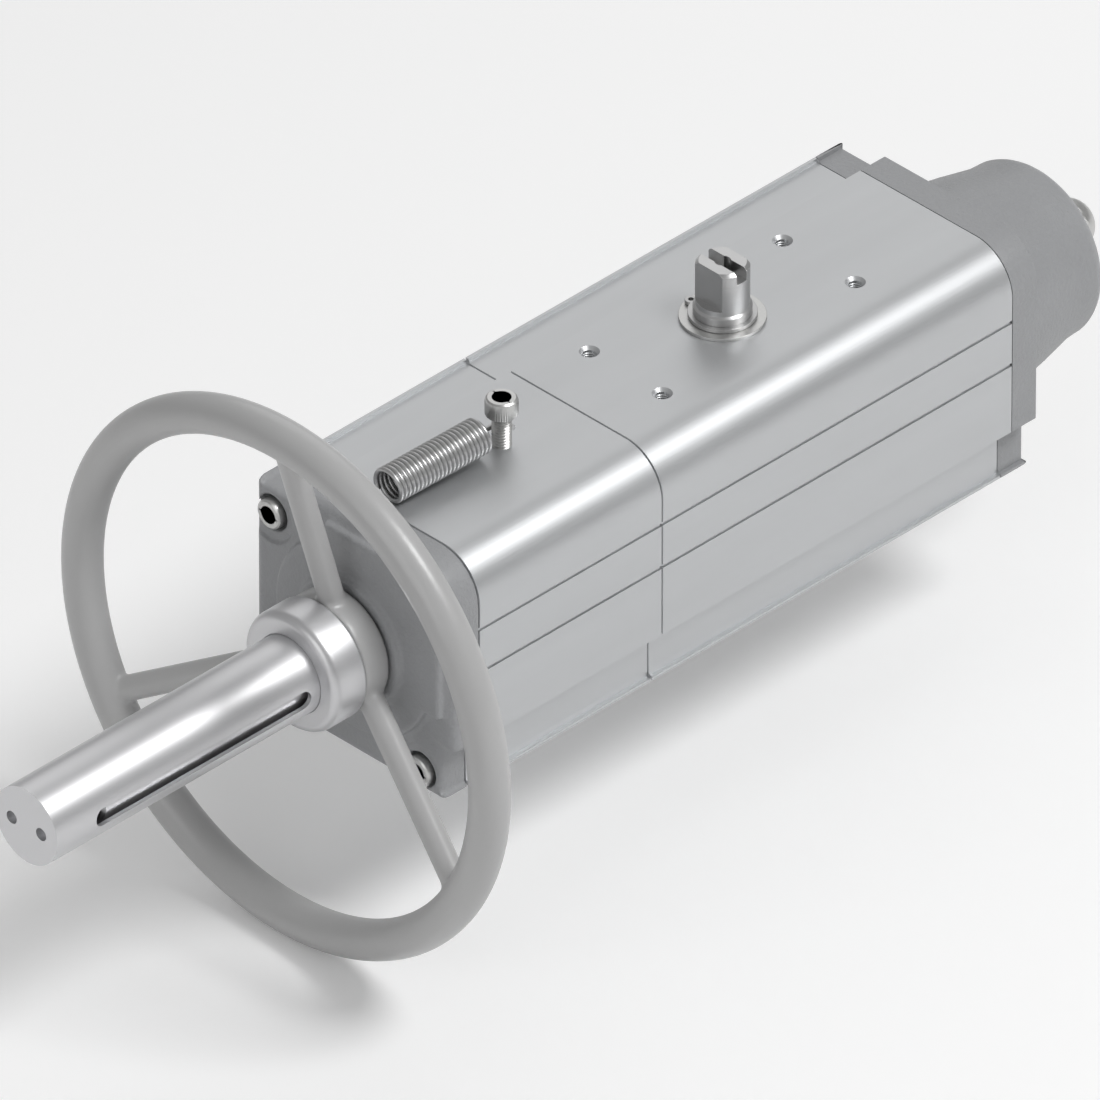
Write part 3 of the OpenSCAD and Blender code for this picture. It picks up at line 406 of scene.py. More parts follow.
def drawn_wire(colour):
    """Drawn spring steel, slightly darker in its drawing marks."""
    finish = Finish("drawn_wire", metallic=1.0, roughness=0.33)
    marks = finish.noise(finish.place(), 2600, 3, 0.6)
    finish.tint(marks, shade(colour, 0.8), shade(colour, 1.05))
    finish.gloss(0.26 + marks * 0.18)
    finish.relief(marks, 0.00002, 0.5)
    return finish.material


def cast_bronze():
    """Turned bearing bronze."""
    finish = Finish("cast_bronze", metallic=1.0, roughness=0.35)
    marks = finish.noise(finish.place((1, 0.05, 0.05)), 3600, 3)
    finish.tint(marks, (0.42, 0.27, 0.12), (0.56, 0.38, 0.18))
    finish.gloss(0.28 + marks * 0.16)
    finish.relief(marks, 0.00003, 0.5)
    return finish.material


def machined_alloy():
    """As cast and machined aluminium of the inner pieces."""
    finish = Finish("machined_alloy", metallic=1.0, roughness=0.4)
    grain = finish.noise(finish.place(), 1800, 3)
    finish.tint(grain, (0.5, 0.51, 0.52), (0.62, 0.63, 0.64))
    finish.gloss(0.32 + grain * 0.16)
    finish.relief(grain, 0.00004, 0.5)
    return finish.material


def bearing_plastic():
    """Machined natural acetal."""
    finish = Finish("bearing_plastic", metallic=0.0, roughness=0.45)
    grain = finish.noise(finish.place(), 2400, 2)
    finish.tint(grain, (0.72, 0.7, 0.64), (0.78, 0.76, 0.7))
    finish.gloss(0.4 + grain * 0.14)
    finish.relief(grain, 0.00003, 0.4)
    return finish.material


def moulded_rubber():
    """Black moulded seal rubber."""
    finish = Finish("moulded_rubber", metallic=0.0, roughness=0.6)
    bloom = finish.noise(finish.place(), 700, 3)
    finish.tint(bloom, (0.022, 0.022, 0.024), (0.045, 0.045, 0.048))
    finish.gloss(0.5 + bloom * 0.2)
    finish.relief(bloom, 0.00003, 0.4)
    return finish.material


def finish_of(name):
    """The material of that name, made when it is first asked for."""
    made = bpy.data.materials.get(name)
    if made:
        return made
    colours = bpy.context.scene.actuator_colours
    makers = {
        "anodised_section": lambda: anodised_section(colours.housing),
        "coated_casting": lambda: coated_casting(colours.casting),
        "wheel_enamel": lambda: wheel_enamel(colours.wheel),
        "turned_steel": lambda: turned_steel(colours.steel),
        "ground_shaft_steel": lambda: ground_shaft_steel(colours.steel),
        "zinc_plate": lambda: zinc_plate(colours.plated),
        "drawn_wire": lambda: drawn_wire(colours.steel),
        "cast_bronze": cast_bronze,
        "machined_alloy": machined_alloy,
        "bearing_plastic": bearing_plastic,
        "moulded_rubber": moulded_rubber,
    }
    return makers[name]()


def arc(centre, radius, start, end, steps):
    """Points on an arc, from one angle in degrees to another."""
    turns = (math.radians(start + (end - start) * i / steps) for i in range(steps + 1))
    return [(centre[0] + radius * math.cos(a), centre[1] + radius * math.sin(a)) for a in turns]


def smooth_by_angle(bm, angle=32.0):
    """Shades a mesh smooth, with the edges sharper than the angle left hard."""
    limit = math.radians(angle)
    for face in bm.faces:
        face.smooth = True
    for edge in bm.edges:
        edge.smooth = len(edge.link_faces) == 2 and edge.calc_face_angle(0) < limit


def finish_piece(bm, name, body, finish, replaced=(), scale=MM):
    """Turns a bmesh in millimetres into a piece that rides on a body and stands for solids."""
    mesh = mesh_of(bm, name, scale)
    piece = bpy.data.objects.new(name, mesh)
    bpy.context.scene.collection.objects.link(piece)
    mesh.materials.append(finish_of(finish))
    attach(piece, body)
    if replaced:
        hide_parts(*replaced)
    return piece


def break_edges(piece, width, segments=2, angle=32.0):
    """Adds a bevel that breaks the hard edges by a width in millimetres."""
    bevel = piece.modifiers.new("edge_break", "BEVEL")
    bevel.width = width * MM
    bevel.segments = segments
    bevel.limit_method = "ANGLE"
    bevel.angle_limit = math.radians(angle)
    bevel.use_clamp_overlap = True
    bevel.harden_normals = True
    return piece


def spin_about_axis(bm, points, height, steps=96):
    """Spins a profile of (x, radius) points full round the cylinder axis at that height."""
    verts = [bm.verts.new((x, 0, height + radius)) for x, radius in points]
    edges = [bm.edges.new(pair) for pair in zip(verts, verts[1:])]
    bmesh.ops.spin(
        bm, geom=verts + edges, cent=(0, 0, height), axis=(1, 0, 0),
        angle=math.tau, steps=steps, use_merge=True, use_duplicate=False)
    bmesh.ops.remove_doubles(bm, verts=bm.verts, dist=1e-4)
    bmesh.ops.recalc_face_normals(bm, faces=bm.faces)


def loft(bm, stations, height):
    """Joins outlines of (y, z) points about the axis, each at its own x, into a closed body."""
    loops = []
    for x, outline in stations:
        verts = [bm.verts.new((x, y, height + z)) for y, z in outline]
        loops.append([bm.edges.new((verts[i - 1], verts[i])) for i in range(len(verts))])
    for near, far in zip(loops, loops[1:]):
        bmesh.ops.bridge_loops(bm, edges=near + far)
    bmesh.ops.contextual_create(bm, geom=loops[0])
    bmesh.ops.contextual_create(bm, geom=loops[-1])
    bmesh.ops.recalc_face_normals(bm, faces=bm.faces)


def add_rod(bm, start, end, radius, centre, segments=48):
    """Adds a closed cylinder along X from start to end, centred at (y, z)."""
    made = bmesh.ops.create_cone(
        bm, cap_ends=True, segments=segments, radius1=radius, radius2=radius, depth=end - start)
    turn = Matrix.Translation(((start + end) / 2, *centre)) @ Matrix.Rotation(math.pi / 2, 4, "Y")
    bmesh.ops.transform(bm, matrix=turn, verts=made["verts"])


def combine(piece, bm, operation):
    """Joins a closed bmesh in millimetres to a piece, or cuts it out, and applies the result."""
    other = bpy.data.objects.new("combined", mesh_of(bm, "combined"))
    bpy.context.scene.collection.objects.link(other)
    step = piece.modifiers.new("combine", "BOOLEAN")
    step.operation = operation
    step.solver = "EXACT"
    step.use_self = True
    step.object = other
    keep_result(piece)
    spare = other.data
    bpy.data.objects.remove(other)
    bpy.data.meshes.remove(spare)


def keep_result(piece):
    """Replaces a piece's mesh by what its modifiers make of it."""
    depsgraph = bpy.context.evaluated_depsgraph_get()
    result = bpy.data.meshes.new_from_object(piece.evaluated_get(depsgraph), depsgraph=depsgraph)
    piece.modifiers.clear()
    old = piece.data
    piece.data = result
    bpy.data.meshes.remove(old)


def flow_together(piece, cell, rounds):
    """Remeshes a piece in even cells and smooths it, as a casting's fillets are."""
    cells = piece.modifiers.new("even_cells", "REMESH")
    cells.mode = "VOXEL"
    cells.voxel_size = cell * MM
    cells.use_smooth_shade = True
    soften = piece.modifiers.new("soften", "SMOOTH")
    soften.factor = 0.5
    soften.iterations = rounds
    keep_result(piece)


def mesh_of(bm, name, scale=MM):
    """A plain mesh of a bmesh in millimetres."""
    bmesh.ops.scale(bm, vec=(scale, scale, scale), verts=bm.verts)
    mesh = bpy.data.meshes.new(name)
    bm.to_mesh(mesh)
    bm.free()
    return mesh


def merged_solid(node):
    """A merged copy of a solid of the frame, in metres."""
    bm = bmesh.new()
    bm.from_mesh(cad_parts[node].data)
    bmesh.ops.remove_doubles(bm, verts=bm.verts, dist=2e-6)
    return bm


def flatten(bm):
    """Joins the triangles that lie in one plane."""
    bmesh.ops.dissolve_limit(
        bm, angle_limit=math.radians(0.3), use_dissolve_boundaries=False,
        verts=bm.verts, edges=bm.edges, delimit=set())


def dressed_copy(node, name, body, finish, width, segments=2, angle=32.0):
    """A merged copy of a solid of the frame, with its edges broken, that stands for the solid."""
    bm = merged_solid(node)
    flatten(bm)
    smooth_by_angle(bm, angle)
    piece = finish_piece(bm, name, body, finish, (node,), 1.0)
    return break_edges(piece, width, segments, angle)


def plain_finish(node, finish):
    """Gives a solid of the frame its finish."""
    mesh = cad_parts[node].data
    mesh.materials.clear()
    mesh.materials.append(finish_of(finish))


def section_outline(sizes, inset=0.0):
    """The housing's outline as (y, z) points about the axis, drawn inwards by the inset."""
    front = sizes.front - inset
    back = sizes.back - inset
    radius = sizes.edge_radius - inset
    lip = sizes.front - sizes.strip_drop - inset
    start = sizes.strip_start - inset
    lip_start = back - sizes.lip_width
    trough = arc((lip_start - sizes.strip_floor, lip), sizes.strip_floor, 270, 360, 6)
    top = [(start, front), (start, lip - sizes.strip_floor)] + trough + [(back, lip)]
    bottom = [(-z, -y) for y, z in reversed(top)]
    corner = arc((radius - front, front - radius), radius, 180, 90, 14)
    return bottom + corner + top + [(back, -back)]


def end_screw_places(context):
    """The (y, z) places of the end screws about the axis."""
    radius = context.scene.actuator_fasteners.head_radius
    far = screws_high.y - radius
    near = screws_high.z - radius - context.scene.actuator_housing.axis_height
    return (far, near), (far, -near), (near, -far), (-near, -far)


def circle(radius, points):
    """Points evenly round a circle."""
    return arc((0, 0), radius, 0, 360 - 360 / points, points - 1)


def hexagon(flats, points, limit=math.inf):
    """Points round a hexagon with its corners up and down, kept within a radius."""
    outline = []
    for i in range(points):
        turn = math.tau * i / points
        from_flat = (turn + math.pi / 6) % (math.pi / 3) - math.pi / 6
        reach = min(flats / 2 / math.cos(from_flat), limit)
        outline.append((reach * math.cos(turn), reach * math.sin(turn)))
    return outline


def knurl(radius, depth, points):
    """A circle whose every second point stands back by a depth."""
    ribs, gaps = circle(radius, points), circle(radius - depth, points)
    return [gap if i % 2 else rib for i, (rib, gap) in enumerate(zip(ribs, gaps))]


def circle_at(x, height, radius, points=14):
    """Points round a small circle at a height over the X axis."""
    return [(x + along, height + across) for along, across in circle(radius, points)]


def merge(bm, part, *places):
    """Adds a finished part once at every place that a matrix gives."""
    mesh = mesh_of(part, "part", 1.0)
    for place in places:
        placed = mesh.copy()
        placed.transform(place)
        bm.from_mesh(placed)
        bpy.data.meshes.remove(placed)
    bpy.data.meshes.remove(mesh)


def wind(profile, pitch, turns, steps=24):
    """A closed profile of (x, radius) points, wound as a helix about the X axis."""
    coil = bmesh.new()
    face = coil.faces.new([coil.verts.new((x, 0, radius)) for x, radius in profile])
    bmesh.ops.spin(
        coil, geom=[face, *face.edges, *face.verts], cent=(0, 0, 0), axis=(1, 0, 0),
        dvec=(pitch / steps, 0, 0), angle=math.tau * turns, steps=round(steps * turns), use_duplicate=False)
    return coil


def thread(root, crest, pitch, length):
    """A thread's ridge from its root radius to its crest radius, along the X axis."""
    ridge = [(0.1 * pitch, root), (0.5 * pitch, crest), (0.9 * pitch, root)]
    return wind(ridge, pitch, length / pitch - 1)


def socket_screw(sizes, length, threaded):
    """A socket head screw along the X axis, with its head's underside at the origin."""
    points = 12 * sizes.knurl_ribs
    head, top = sizes.head_radius, -sizes.head_height
    shank = sizes.shank_radius
    core = shank - sizes.thread_depth
    corner = sizes.socket_flats / math.sqrt(3)
    chamfer = 0.4
    plain = length - threaded
    plain_radius = shank - 0.02
    bm = bmesh.new()
    loft(bm, [
        (length, circle(core - chamfer, points)),
        (length - chamfer, circle(core, points)),
        (plain + chamfer, circle(core, points)),
        (plain, circle(plain_radius, points)),
        (0, circle(plain_radius, points)),
        (0, circle(head - chamfer, points)),
        (-chamfer, knurl(head, sizes.knurl_depth, points)),
        (top + 3 * chamfer, knurl(head, sizes.knurl_depth, points)),
        (top + 2 * chamfer, circle(head - sizes.knurl_depth, points)),
        (top + chamfer, circle(head - 1.5 * sizes.knurl_depth, points)),
        (top, circle(head - 2 * chamfer, points)),
        (top, circle(corner + chamfer / 8, points)),
        (top + chamfer / 4, hexagon(sizes.socket_flats, points)),
        (top + sizes.socket_depth, hexagon(sizes.socket_flats, points)),
        (top + sizes.socket_depth + chamfer, circle(chamfer, points)),
    ], 0)
    ridge = thread(core - 0.05, shank, sizes.thread_pitch, threaded)
    merge(bm, ridge, Matrix.Translation((plain, 0, 0)))
    return bm


class ACTUATOR_OT_housings(bpy.types.Operator):
    """Breaks the edges of the two housing sections and anodises them"""

    bl_idname = "actuator.housings"
    bl_label = "Housing sections"

    def execute(self, context):
        sizes = context.scene.actuator_housing
        for node in ("main_housing", "extension_housing"):
            bm = merged_solid(node)
            ends = [vert.co.x for vert in bm.verts]
            self.chamfer_end(bm, sizes, min(ends), 1)
            self.chamfer_end(bm, sizes, max(ends), -1)
            flatten(bm)
            smooth_by_angle(bm)
            piece = finish_piece(
                bm, node + "_section", "housing", "anodised_section", (node,), 1.0)
            break_edges(piece, sizes.edge_break)
        return {"FINISHED"}

    def chamfer_end(self, bm, sizes, end, inward):
        """Draws the outline in at one end plane, so that the joint shows as a narrow dark line."""
        bmesh.ops.bisect_plane(
            bm, geom=[*bm.verts, *bm.edges, *bm.faces], dist=1e-7,
            plane_co=(end + inward * sizes.joint_width * MM, 0, 0), plane_no=(1, 0, 0))
        shrink = 1 - sizes.joint_depth / sizes.front
        height = sizes.axis_height * MM
        for vert in bm.verts:
            across = Vector((0, vert.co.y, vert.co.z - height))
            outer = any(face.normal.dot(across) > 0.3 * across.length for face in vert.link_faces)
            if outer and abs(vert.co.x - end) < 1e-5:
                vert.co.y *= shrink
                vert.co.z = height + across.z * shrink
        bm.normal_update()


class ACTUATOR_OT_right_cap(bpy.types.Operator):
    """Builds the right end casting with its dome"""

    bl_idname = "actuator.right_cap"
    bl_label = "Domed end cap"

    def execute(self, context):
        casting = context.scene.actuator_casting
        height = context.scene.actuator_housing.axis_height
        face, end = self.flange_face(context), cap_high.x
        self.flange(context, casting, face)
        base, shoulder = casting.dome_base, casting.dome_shoulder
        fillet, rounding, wall = casting.dome_fillet, casting.dome_round, casting.dome_wall
        waist_x = face + casting.waist_share * (end - face)
        shoulder_x = face + casting.shoulder_share * (end - face)
        foot = arc((face + fillet, base + fillet), fillet, 180, 270, 8)
        waist = [(waist_x, casting.dome_waist), (shoulder_x, shoulder)]
        edge = arc((end - rounding, shoulder - rounding), rounding, 75, 0, 12)
        bore = context.scene.actuator_fasteners.stop_radius
        overlap = 1
        rim = (face - overlap, base)
        hollow = [
            (end, bore), (end - 1.5 * wall, bore), (end - 1.5 * wall, shoulder - 3 * wall),
            (end - 2 * wall, shoulder - 2 * wall), (shoulder_x, shoulder - wall),
            (face - overlap, base - wall - overlap)]
        bm = bmesh.new()
        spin_about_axis(bm, [rim] + foot + waist + edge + hollow + [rim], height)
        smooth_by_angle(bm, 40)
        finish_piece(bm, "end_dome", "housing", "coated_casting", ("right_cap",))
        return {"FINISHED"}

    def flange(self, context, casting, face):
        """The solid's flange and spigot, cut off flat where the dome starts."""
        stub = 1
        bm = merged_solid("right_cap")
        cut = bmesh.ops.bisect_plane(
            bm, geom=[*bm.verts, *bm.edges, *bm.faces], dist=1e-7,
            plane_co=((face + stub) * MM, 0, 0), plane_no=(1, 0, 0), clear_outer=True)
        rims = [part for part in cut["geom_cut"] if isinstance(part, bmesh.types.BMEdge)]
        bmesh.ops.bridge_loops(bm, edges=rims)
        flatten(bm)
        bmesh.ops.bevel(
            bm, geom=self.outline_edges(context, bm, face), offset=casting.flange_round * MM,
            segments=3, profile=0.5, affect="EDGES", clamp_overlap=False, material=-1)
        smooth_by_angle(bm, 20)
        finish_piece(bm, "end_flange", "housing", "coated_casting", ("right_cap",), 1.0)

    def outline_edges(self, context, bm, face):
        """The hard edges round the flange's outer face, without the dome's and the pockets'."""
        casting = context.scene.actuator_casting
        centre = Vector((face, 0, context.scene.actuator_housing.axis_height)) * MM
        pockets = [Vector((face, y, z)) * MM for y, z in end_screw_places(context)]
        shortest = 1.2 * MM
        hard = math.radians(50)
        dome_reach = (casting.dome_base + 2) * MM
        pocket_reach = (casting.bore_radius + 0.7) * MM
        found = []
        for edge in bm.edges:
            ends = [vert.co for vert in edge.verts]
            in_face = max(abs(end.x - centre.x) for end in ends) < 1e-5
            if not in_face or edge.calc_length() < shortest or edge.calc_face_angle_signed(0) < hard:
                continue
            on_dome = min((end - centre).length for end in ends) < dome_reach
            in_pocket = any(
                max((end - pocket).length for end in ends) < pocket_reach for pocket in pockets)
            if not on_dome and not in_pocket:
                found.append(edge)
        return found

    def flange_face(self, context):
        """The plane where the dome leaves the flange."""
        return cap_screws_high.x + context.scene.actuator_fasteners.flange_recess


class ACTUATOR_OT_left_cover(bpy.types.Operator):
    """Builds the left end casting with its raised pad, pockets and boss"""

    bl_idname = "actuator.left_cover"
    bl_label = "Left end cover"

    def execute(self, context):
        sizes = context.scene.actuator_housing
        casting = context.scene.actuator_casting
        height = sizes.axis_height
        bm = bmesh.new()
        plate_face = extension_low.x - casting.plate_thickness
        rounding = casting.cover_round
        stations = [(extension_low.x, section_outline(sizes))]
        for turn in range(0, 91, 15):
            angle = math.radians(turn)
            stations.append((
                plate_face + rounding * (1 - math.sin(angle)),
                section_outline(sizes, rounding * (1 - math.cos(angle)))))
        loft(bm, stations, height)
        piece = finish_piece(bm, "cast_cover", "housing", "coated_casting", ("left_cover",))
        combine(piece, self.pad(sizes, casting, plate_face), "UNION")
        combine(piece, self.boss(casting, height, plate_face), "UNION")
        combine(piece, self.holes(context, plate_face), "DIFFERENCE")
        flow_together(piece, casting.grain, 4)
        return {"FINISHED"}

    def pad(self, sizes, casting, plate_face):
        """The raised pad, with a fillet at its foot and a rounded edge."""
        top = plate_face - casting.pad_height
        stations = [(plate_face + 1, self.pad_outline(sizes, casting, -casting.pad_fillet))]
        for turn in range(0, 91, 30):
            lean = casting.pad_fillet * (1 - math.sin(math.radians(turn)))
            rise = casting.pad_fillet * (1 - math.cos(math.radians(turn)))
            stations.append((plate_face - rise, self.pad_outline(sizes, casting, -lean)))
        for turn in range(0, 91, 30):
            lean = casting.pad_round * (1 - math.cos(math.radians(turn)))
            rise = casting.pad_round * (1 - math.sin(math.radians(turn)))
            stations.append((top + rise, self.pad_outline(sizes, casting, lean)))
        bm = bmesh.new()
        loft(bm, stations, sizes.axis_height)
        return bm

    def pad_outline(self, sizes, casting, inset):
        """The pad's outline: square at the front top, round at the back and the bottom."""
        front = sizes.front - casting.pad_inset - inset
        corner = sizes.edge_radius - casting.pad_inset - inset
        radius = casting.pad_radius - inset
        reach = casting.pad_reach - inset
        turn = math.degrees(math.asin(reach / radius))
        outline = [(-front, -reach)]
        outline += arc((corner - front, front - corner), corner, 180, 90, 10)
        outline += [(reach, front)]
        return outline + arc((0, 0), radius, 90 - turn, turn - 180, 40)

    def boss(self, casting, height, plate_face):
        """The boss round the handwheel's hub."""
        end, root = cover_low.x, plate_face + 1
        radius, foot = casting.boss_radius, casting.boss_radius + casting.boss_foot
        inside = casting.nut_bore - 2
        pad_face = plate_face - casting.pad_height
        bm = bmesh.new()
        spin_about_axis(bm, [
            (end, inside), (end, radius - 1), (end + 0.5, radius - 0.2), (end + 1.2, radius),
            (pad_face - 0.4, foot - 0.8), (pad_face + 0.2, foot), (root, foot),
            (root, inside), (end, inside)], height)
        return bm

    def holes(self, context, plate_face):
        """The pockets, counterbores and holes of the four screws, and the nut's bore."""
        casting = context.scene.actuator_casting
        screws = context.scene.actuator_fasteners
        height = context.scene.actuator_housing.axis_height
        seat = screws_low.x + screws.head_height
        outside, inside = cover_low.x - 5, extension_low.x + 1
        shank_hole = screws.shank_radius + 0.3
        bm = bmesh.new()
        for y, z in end_screw_places(context):
            for end, radius in (
                    (plate_face + casting.pocket_depth, casting.pocket_radius),
                    (seat, casting.bore_radius),
                    (inside, shank_hole)):
                add_rod(bm, outside, end, radius, (y, height + z))
        add_rod(bm, outside, inside, casting.nut_bore, (0, height), 96)
        return bm


class ACTUATOR_OT_handwheel(bpy.types.Operator):
    """Builds the handwheel with spokes that flow into its hub and rim"""

    bl_idname = "actuator.handwheel"
    bl_label = "Handwheel"

    def execute(self, context):
        sizes = context.scene.actuator_wheel
        height = context.scene.actuator_housing.axis_height
        rim_x = wheel_low.x + sizes.rim_thickness
        left, right = collar_high.x, wheel_high.x
        root_x = left + sizes.root_share * (right - left)
        left_chamfer, right_chamfer = 0.6, 0.8
        bm = bmesh.new()
        ring = arc((rim_x, sizes.rim_radius), sizes.rim_thickness, 0, 360, 32)
        spin_about_axis(bm, ring, height, 160)
        piece = finish_piece(
            bm, "cast_handwheel", "handwheel", "wheel_enamel", ("handwheel",))
        hub = bmesh.new()
        outer = sizes.hub_radius
        spin_about_axis(hub, [
            (left, 0), (left, outer - left_chamfer), (left + left_chamfer, outer),
            (right - right_chamfer, outer), (right, outer - right_chamfer), (right, 0)], height)
        combine(piece, hub, "UNION")
        spokes = bmesh.new()
        root_radius = sizes.shaft_radius + 2
        for i in range(sizes.spokes):
            angle = math.radians(90 + i * 360 / sizes.spokes)
            outward = Vector((0, math.cos(angle), math.sin(angle)))
            axis = Vector((0, 0, height))
            root = axis + outward * root_radius + Vector((root_x, 0, 0))
            tip = axis + outward * sizes.rim_radius + Vector((rim_x, 0, 0))
            along = tip - root
            turn = along.to_track_quat("Z", "Y").to_matrix().to_4x4()
            made = bmesh.ops.create_cone(
                spokes, cap_ends=True, segments=32, radius1=sizes.spoke_radius,
                radius2=sizes.spoke_radius, depth=along.length)
            bmesh.ops.transform(
                spokes, matrix=Matrix.Translation((root + tip) / 2) @ turn, verts=made["verts"])
        combine(piece, spokes, "UNION")
        bore = bmesh.new()
        add_rod(bore, left - 1, right + 1, sizes.shaft_radius, (0, height), 96)
        combine(piece, bore, "DIFFERENCE")
        flow_together(piece, sizes.grain, 8)
        return {"FINISHED"}


class ACTUATOR_OT_cover_tube(bpy.types.Operator):
    """Turns the clamp collar and the spindle's cover tube"""

    bl_idname = "actuator.cover_tube"
    bl_label = "Collar and cover tube"

    def execute(self, context):
        steel = "turned_steel"
        dressed_copy("spindle_cover", "sight_tube", "handwheel", steel, width=0.2)
        dressed_copy("clamp_collar", "turned_collar", "handwheel", steel, width=0.3)
        return {"FINISHED"}


class ACTUATOR_OT_shaft(bpy.types.Operator):
    """Finishes the drive shaft, its washer and its circlip"""

    bl_idname = "actuator.shaft"
    bl_label = "Drive shaft"

    def execute(self, context):
        dressed_copy("drive_shaft", "pinion_shaft", "shaft", "ground_shaft_steel", width=0.2)
        dressed_copy("shaft_washer", "top_washer", "housing", "zinc_plate", width=0.15)
        dressed_copy("shaft_circlip", "top_circlip", "shaft", "drawn_wire", width=0.12)
        return {"FINISHED"}


class ACTUATOR_OT_stop_nut(bpy.types.Operator):
    """Builds the domed cap nut of the travel stop"""

    bl_idname = "actuator.stop_nut"
    bl_label = "Cap nut"

    def execute(self, context):
        sizes = context.scene.actuator_fasteners
        flats, height, dome = sizes.nut_flats, sizes.nut_height, sizes.nut_dome
        points = 96
        corner = flats / math.sqrt(3)
        chamfer = corner - flats / 2
        seat = cap_nut_low.x
        centre = cap_nut_high.x - dome
        stations = [
            (seat, hexagon(flats, points, flats / 2)),
            (seat + chamfer / 2, hexagon(flats, points)),
            (seat + height - chamfer / 2, hexagon(flats, points)),
            (seat + height, hexagon(flats, points, flats / 2)),
        ]
        for turn in range(10, 90, 8):
            angle = math.radians(turn)
            stations.append((centre + dome * math.sin(angle), circle(dome * math.cos(angle), points)))
        bm = bmesh.new()
        loft(bm, stations, context.scene.actuator_housing.axis_height)
        smooth_by_angle(bm, 25)
        finish_piece(bm, "domed_nut", "housing", "zinc_plate", ("stop_cap_nut",))
        return {"FINISHED"}


class ACTUATOR_OT_screws(bpy.types.Operator):
    """Builds the socket head screws in the castings and on the extension"""

    bl_idname = "actuator.screws"
    bl_label = "Socket head screws"

    def execute(self, context):
        sizes = context.scene.actuator_fasteners
        height = context.scene.actuator_housing.axis_height
        places = end_screw_places(context)
        threaded = 16
        reach = screws_high.x - screws_low.x - sizes.head_height
        seat = screws_low.x + sizes.head_height
        left, right, standing = bmesh.new(), bmesh.new(), bmesh.new()
        merge(left, socket_screw(sizes, reach, threaded), *(
            Matrix.Translation((seat, y, height + z)) for y, z in places))
        reach = cap_screws_high.x - cap_screws_low.x - sizes.head_height
        seat = cap_screws_high.x - sizes.head_height
        half_turn = Matrix.Rotation(math.pi, 4, "Z")
        merge(right, socket_screw(sizes, reach, reach), *(
            Matrix.Translation((seat, y, height + z)) @ half_turn for y, z in places))
        reach = spring_screw_high.z - spring_screw_low.z - sizes.head_height
        middle = (spring_screw_low + spring_screw_high) / 2
        down = Matrix.Rotation(math.pi / 2, 4, "Y")
        merge(
            standing, socket_screw(sizes, reach, reach),
            Matrix.Translation((middle.x, middle.y, spring_screw_high.z - sizes.head_height)) @ down)
        for name, bm, node in (
                ("tie_screw_set", left, "tie_screws"),
                ("cap_screw_set", right, "cap_screws"),
                ("standing_screw", standing, "spring_screw")):
            smooth_by_angle(bm)
            finish_piece(bm, name, "housing", "zinc_plate", (node,))
        return {"FINISHED"}


class ACTUATOR_OT_spring(bpy.types.Operator):
    """Winds the extension spring and hooks it round its screw"""

    bl_idname = "actuator.spring"
    bl_label = "Extension spring"

    def execute(self, context):
        sizes = context.scene.actuator_fasteners
        wire = sizes.wire_radius
        coil = sizes.spring_radius - wire
        length = sizes.spring_turns * sizes.turn_pitch
        screw_x = (spring_screw_low.x + spring_screw_high.x) / 2
        end = Vector((
            screw_x - sizes.spring_gap, 0, housing_high.z + sizes.spring_radius + sizes.spring_rise))
        start = end + Vector((-length, sizes.spring_lean, -sizes.spring_rise))
        hook = sizes.shank_radius + wire
        depth = -math.sqrt((coil - wire / 3) ** 2 - hook ** 2)
        leave = math.atan2(depth, hook) - math.pi / 2
        bm = bmesh.new()
        along = (end - start).to_track_quat("X", "Z").to_matrix().to_4x4()
        merge(
            bm, wind(circle_at(0, coil, wire * 0.97), sizes.turn_pitch, sizes.spring_turns),
            Matrix.Translation(start) @ along @ Matrix.Rotation(leave, 4, "X"))
        add_rod(bm, end.x - wire, screw_x, wire, (hook, end.z + depth), 24)
        made = bmesh.ops.create_uvsphere(bm, u_segments=24, v_segments=12, radius=wire * 1.02)
        bmesh.ops.translate(bm, vec=(end.x - wire, hook, end.z + depth), verts=made["verts"])
        bend = wind(circle_at(0, hook, wire), 0, -sizes.hook_angle / 360, -48)
        upright = Matrix.Rotation(-math.pi / 2, 4, "Y")
        merge(bm, bend, Matrix.Translation((screw_x, 0, end.z + depth)) @ upright @ Matrix.Rotation(
            -math.pi / 2, 4, "X"))
        bmesh.ops.recalc_face_normals(bm, faces=bm.faces)
        smooth_by_angle(bm)
        finish_piece(bm, "wound_spring", "housing", "drawn_wire", ("tension_spring",))
        return {"FINISHED"}


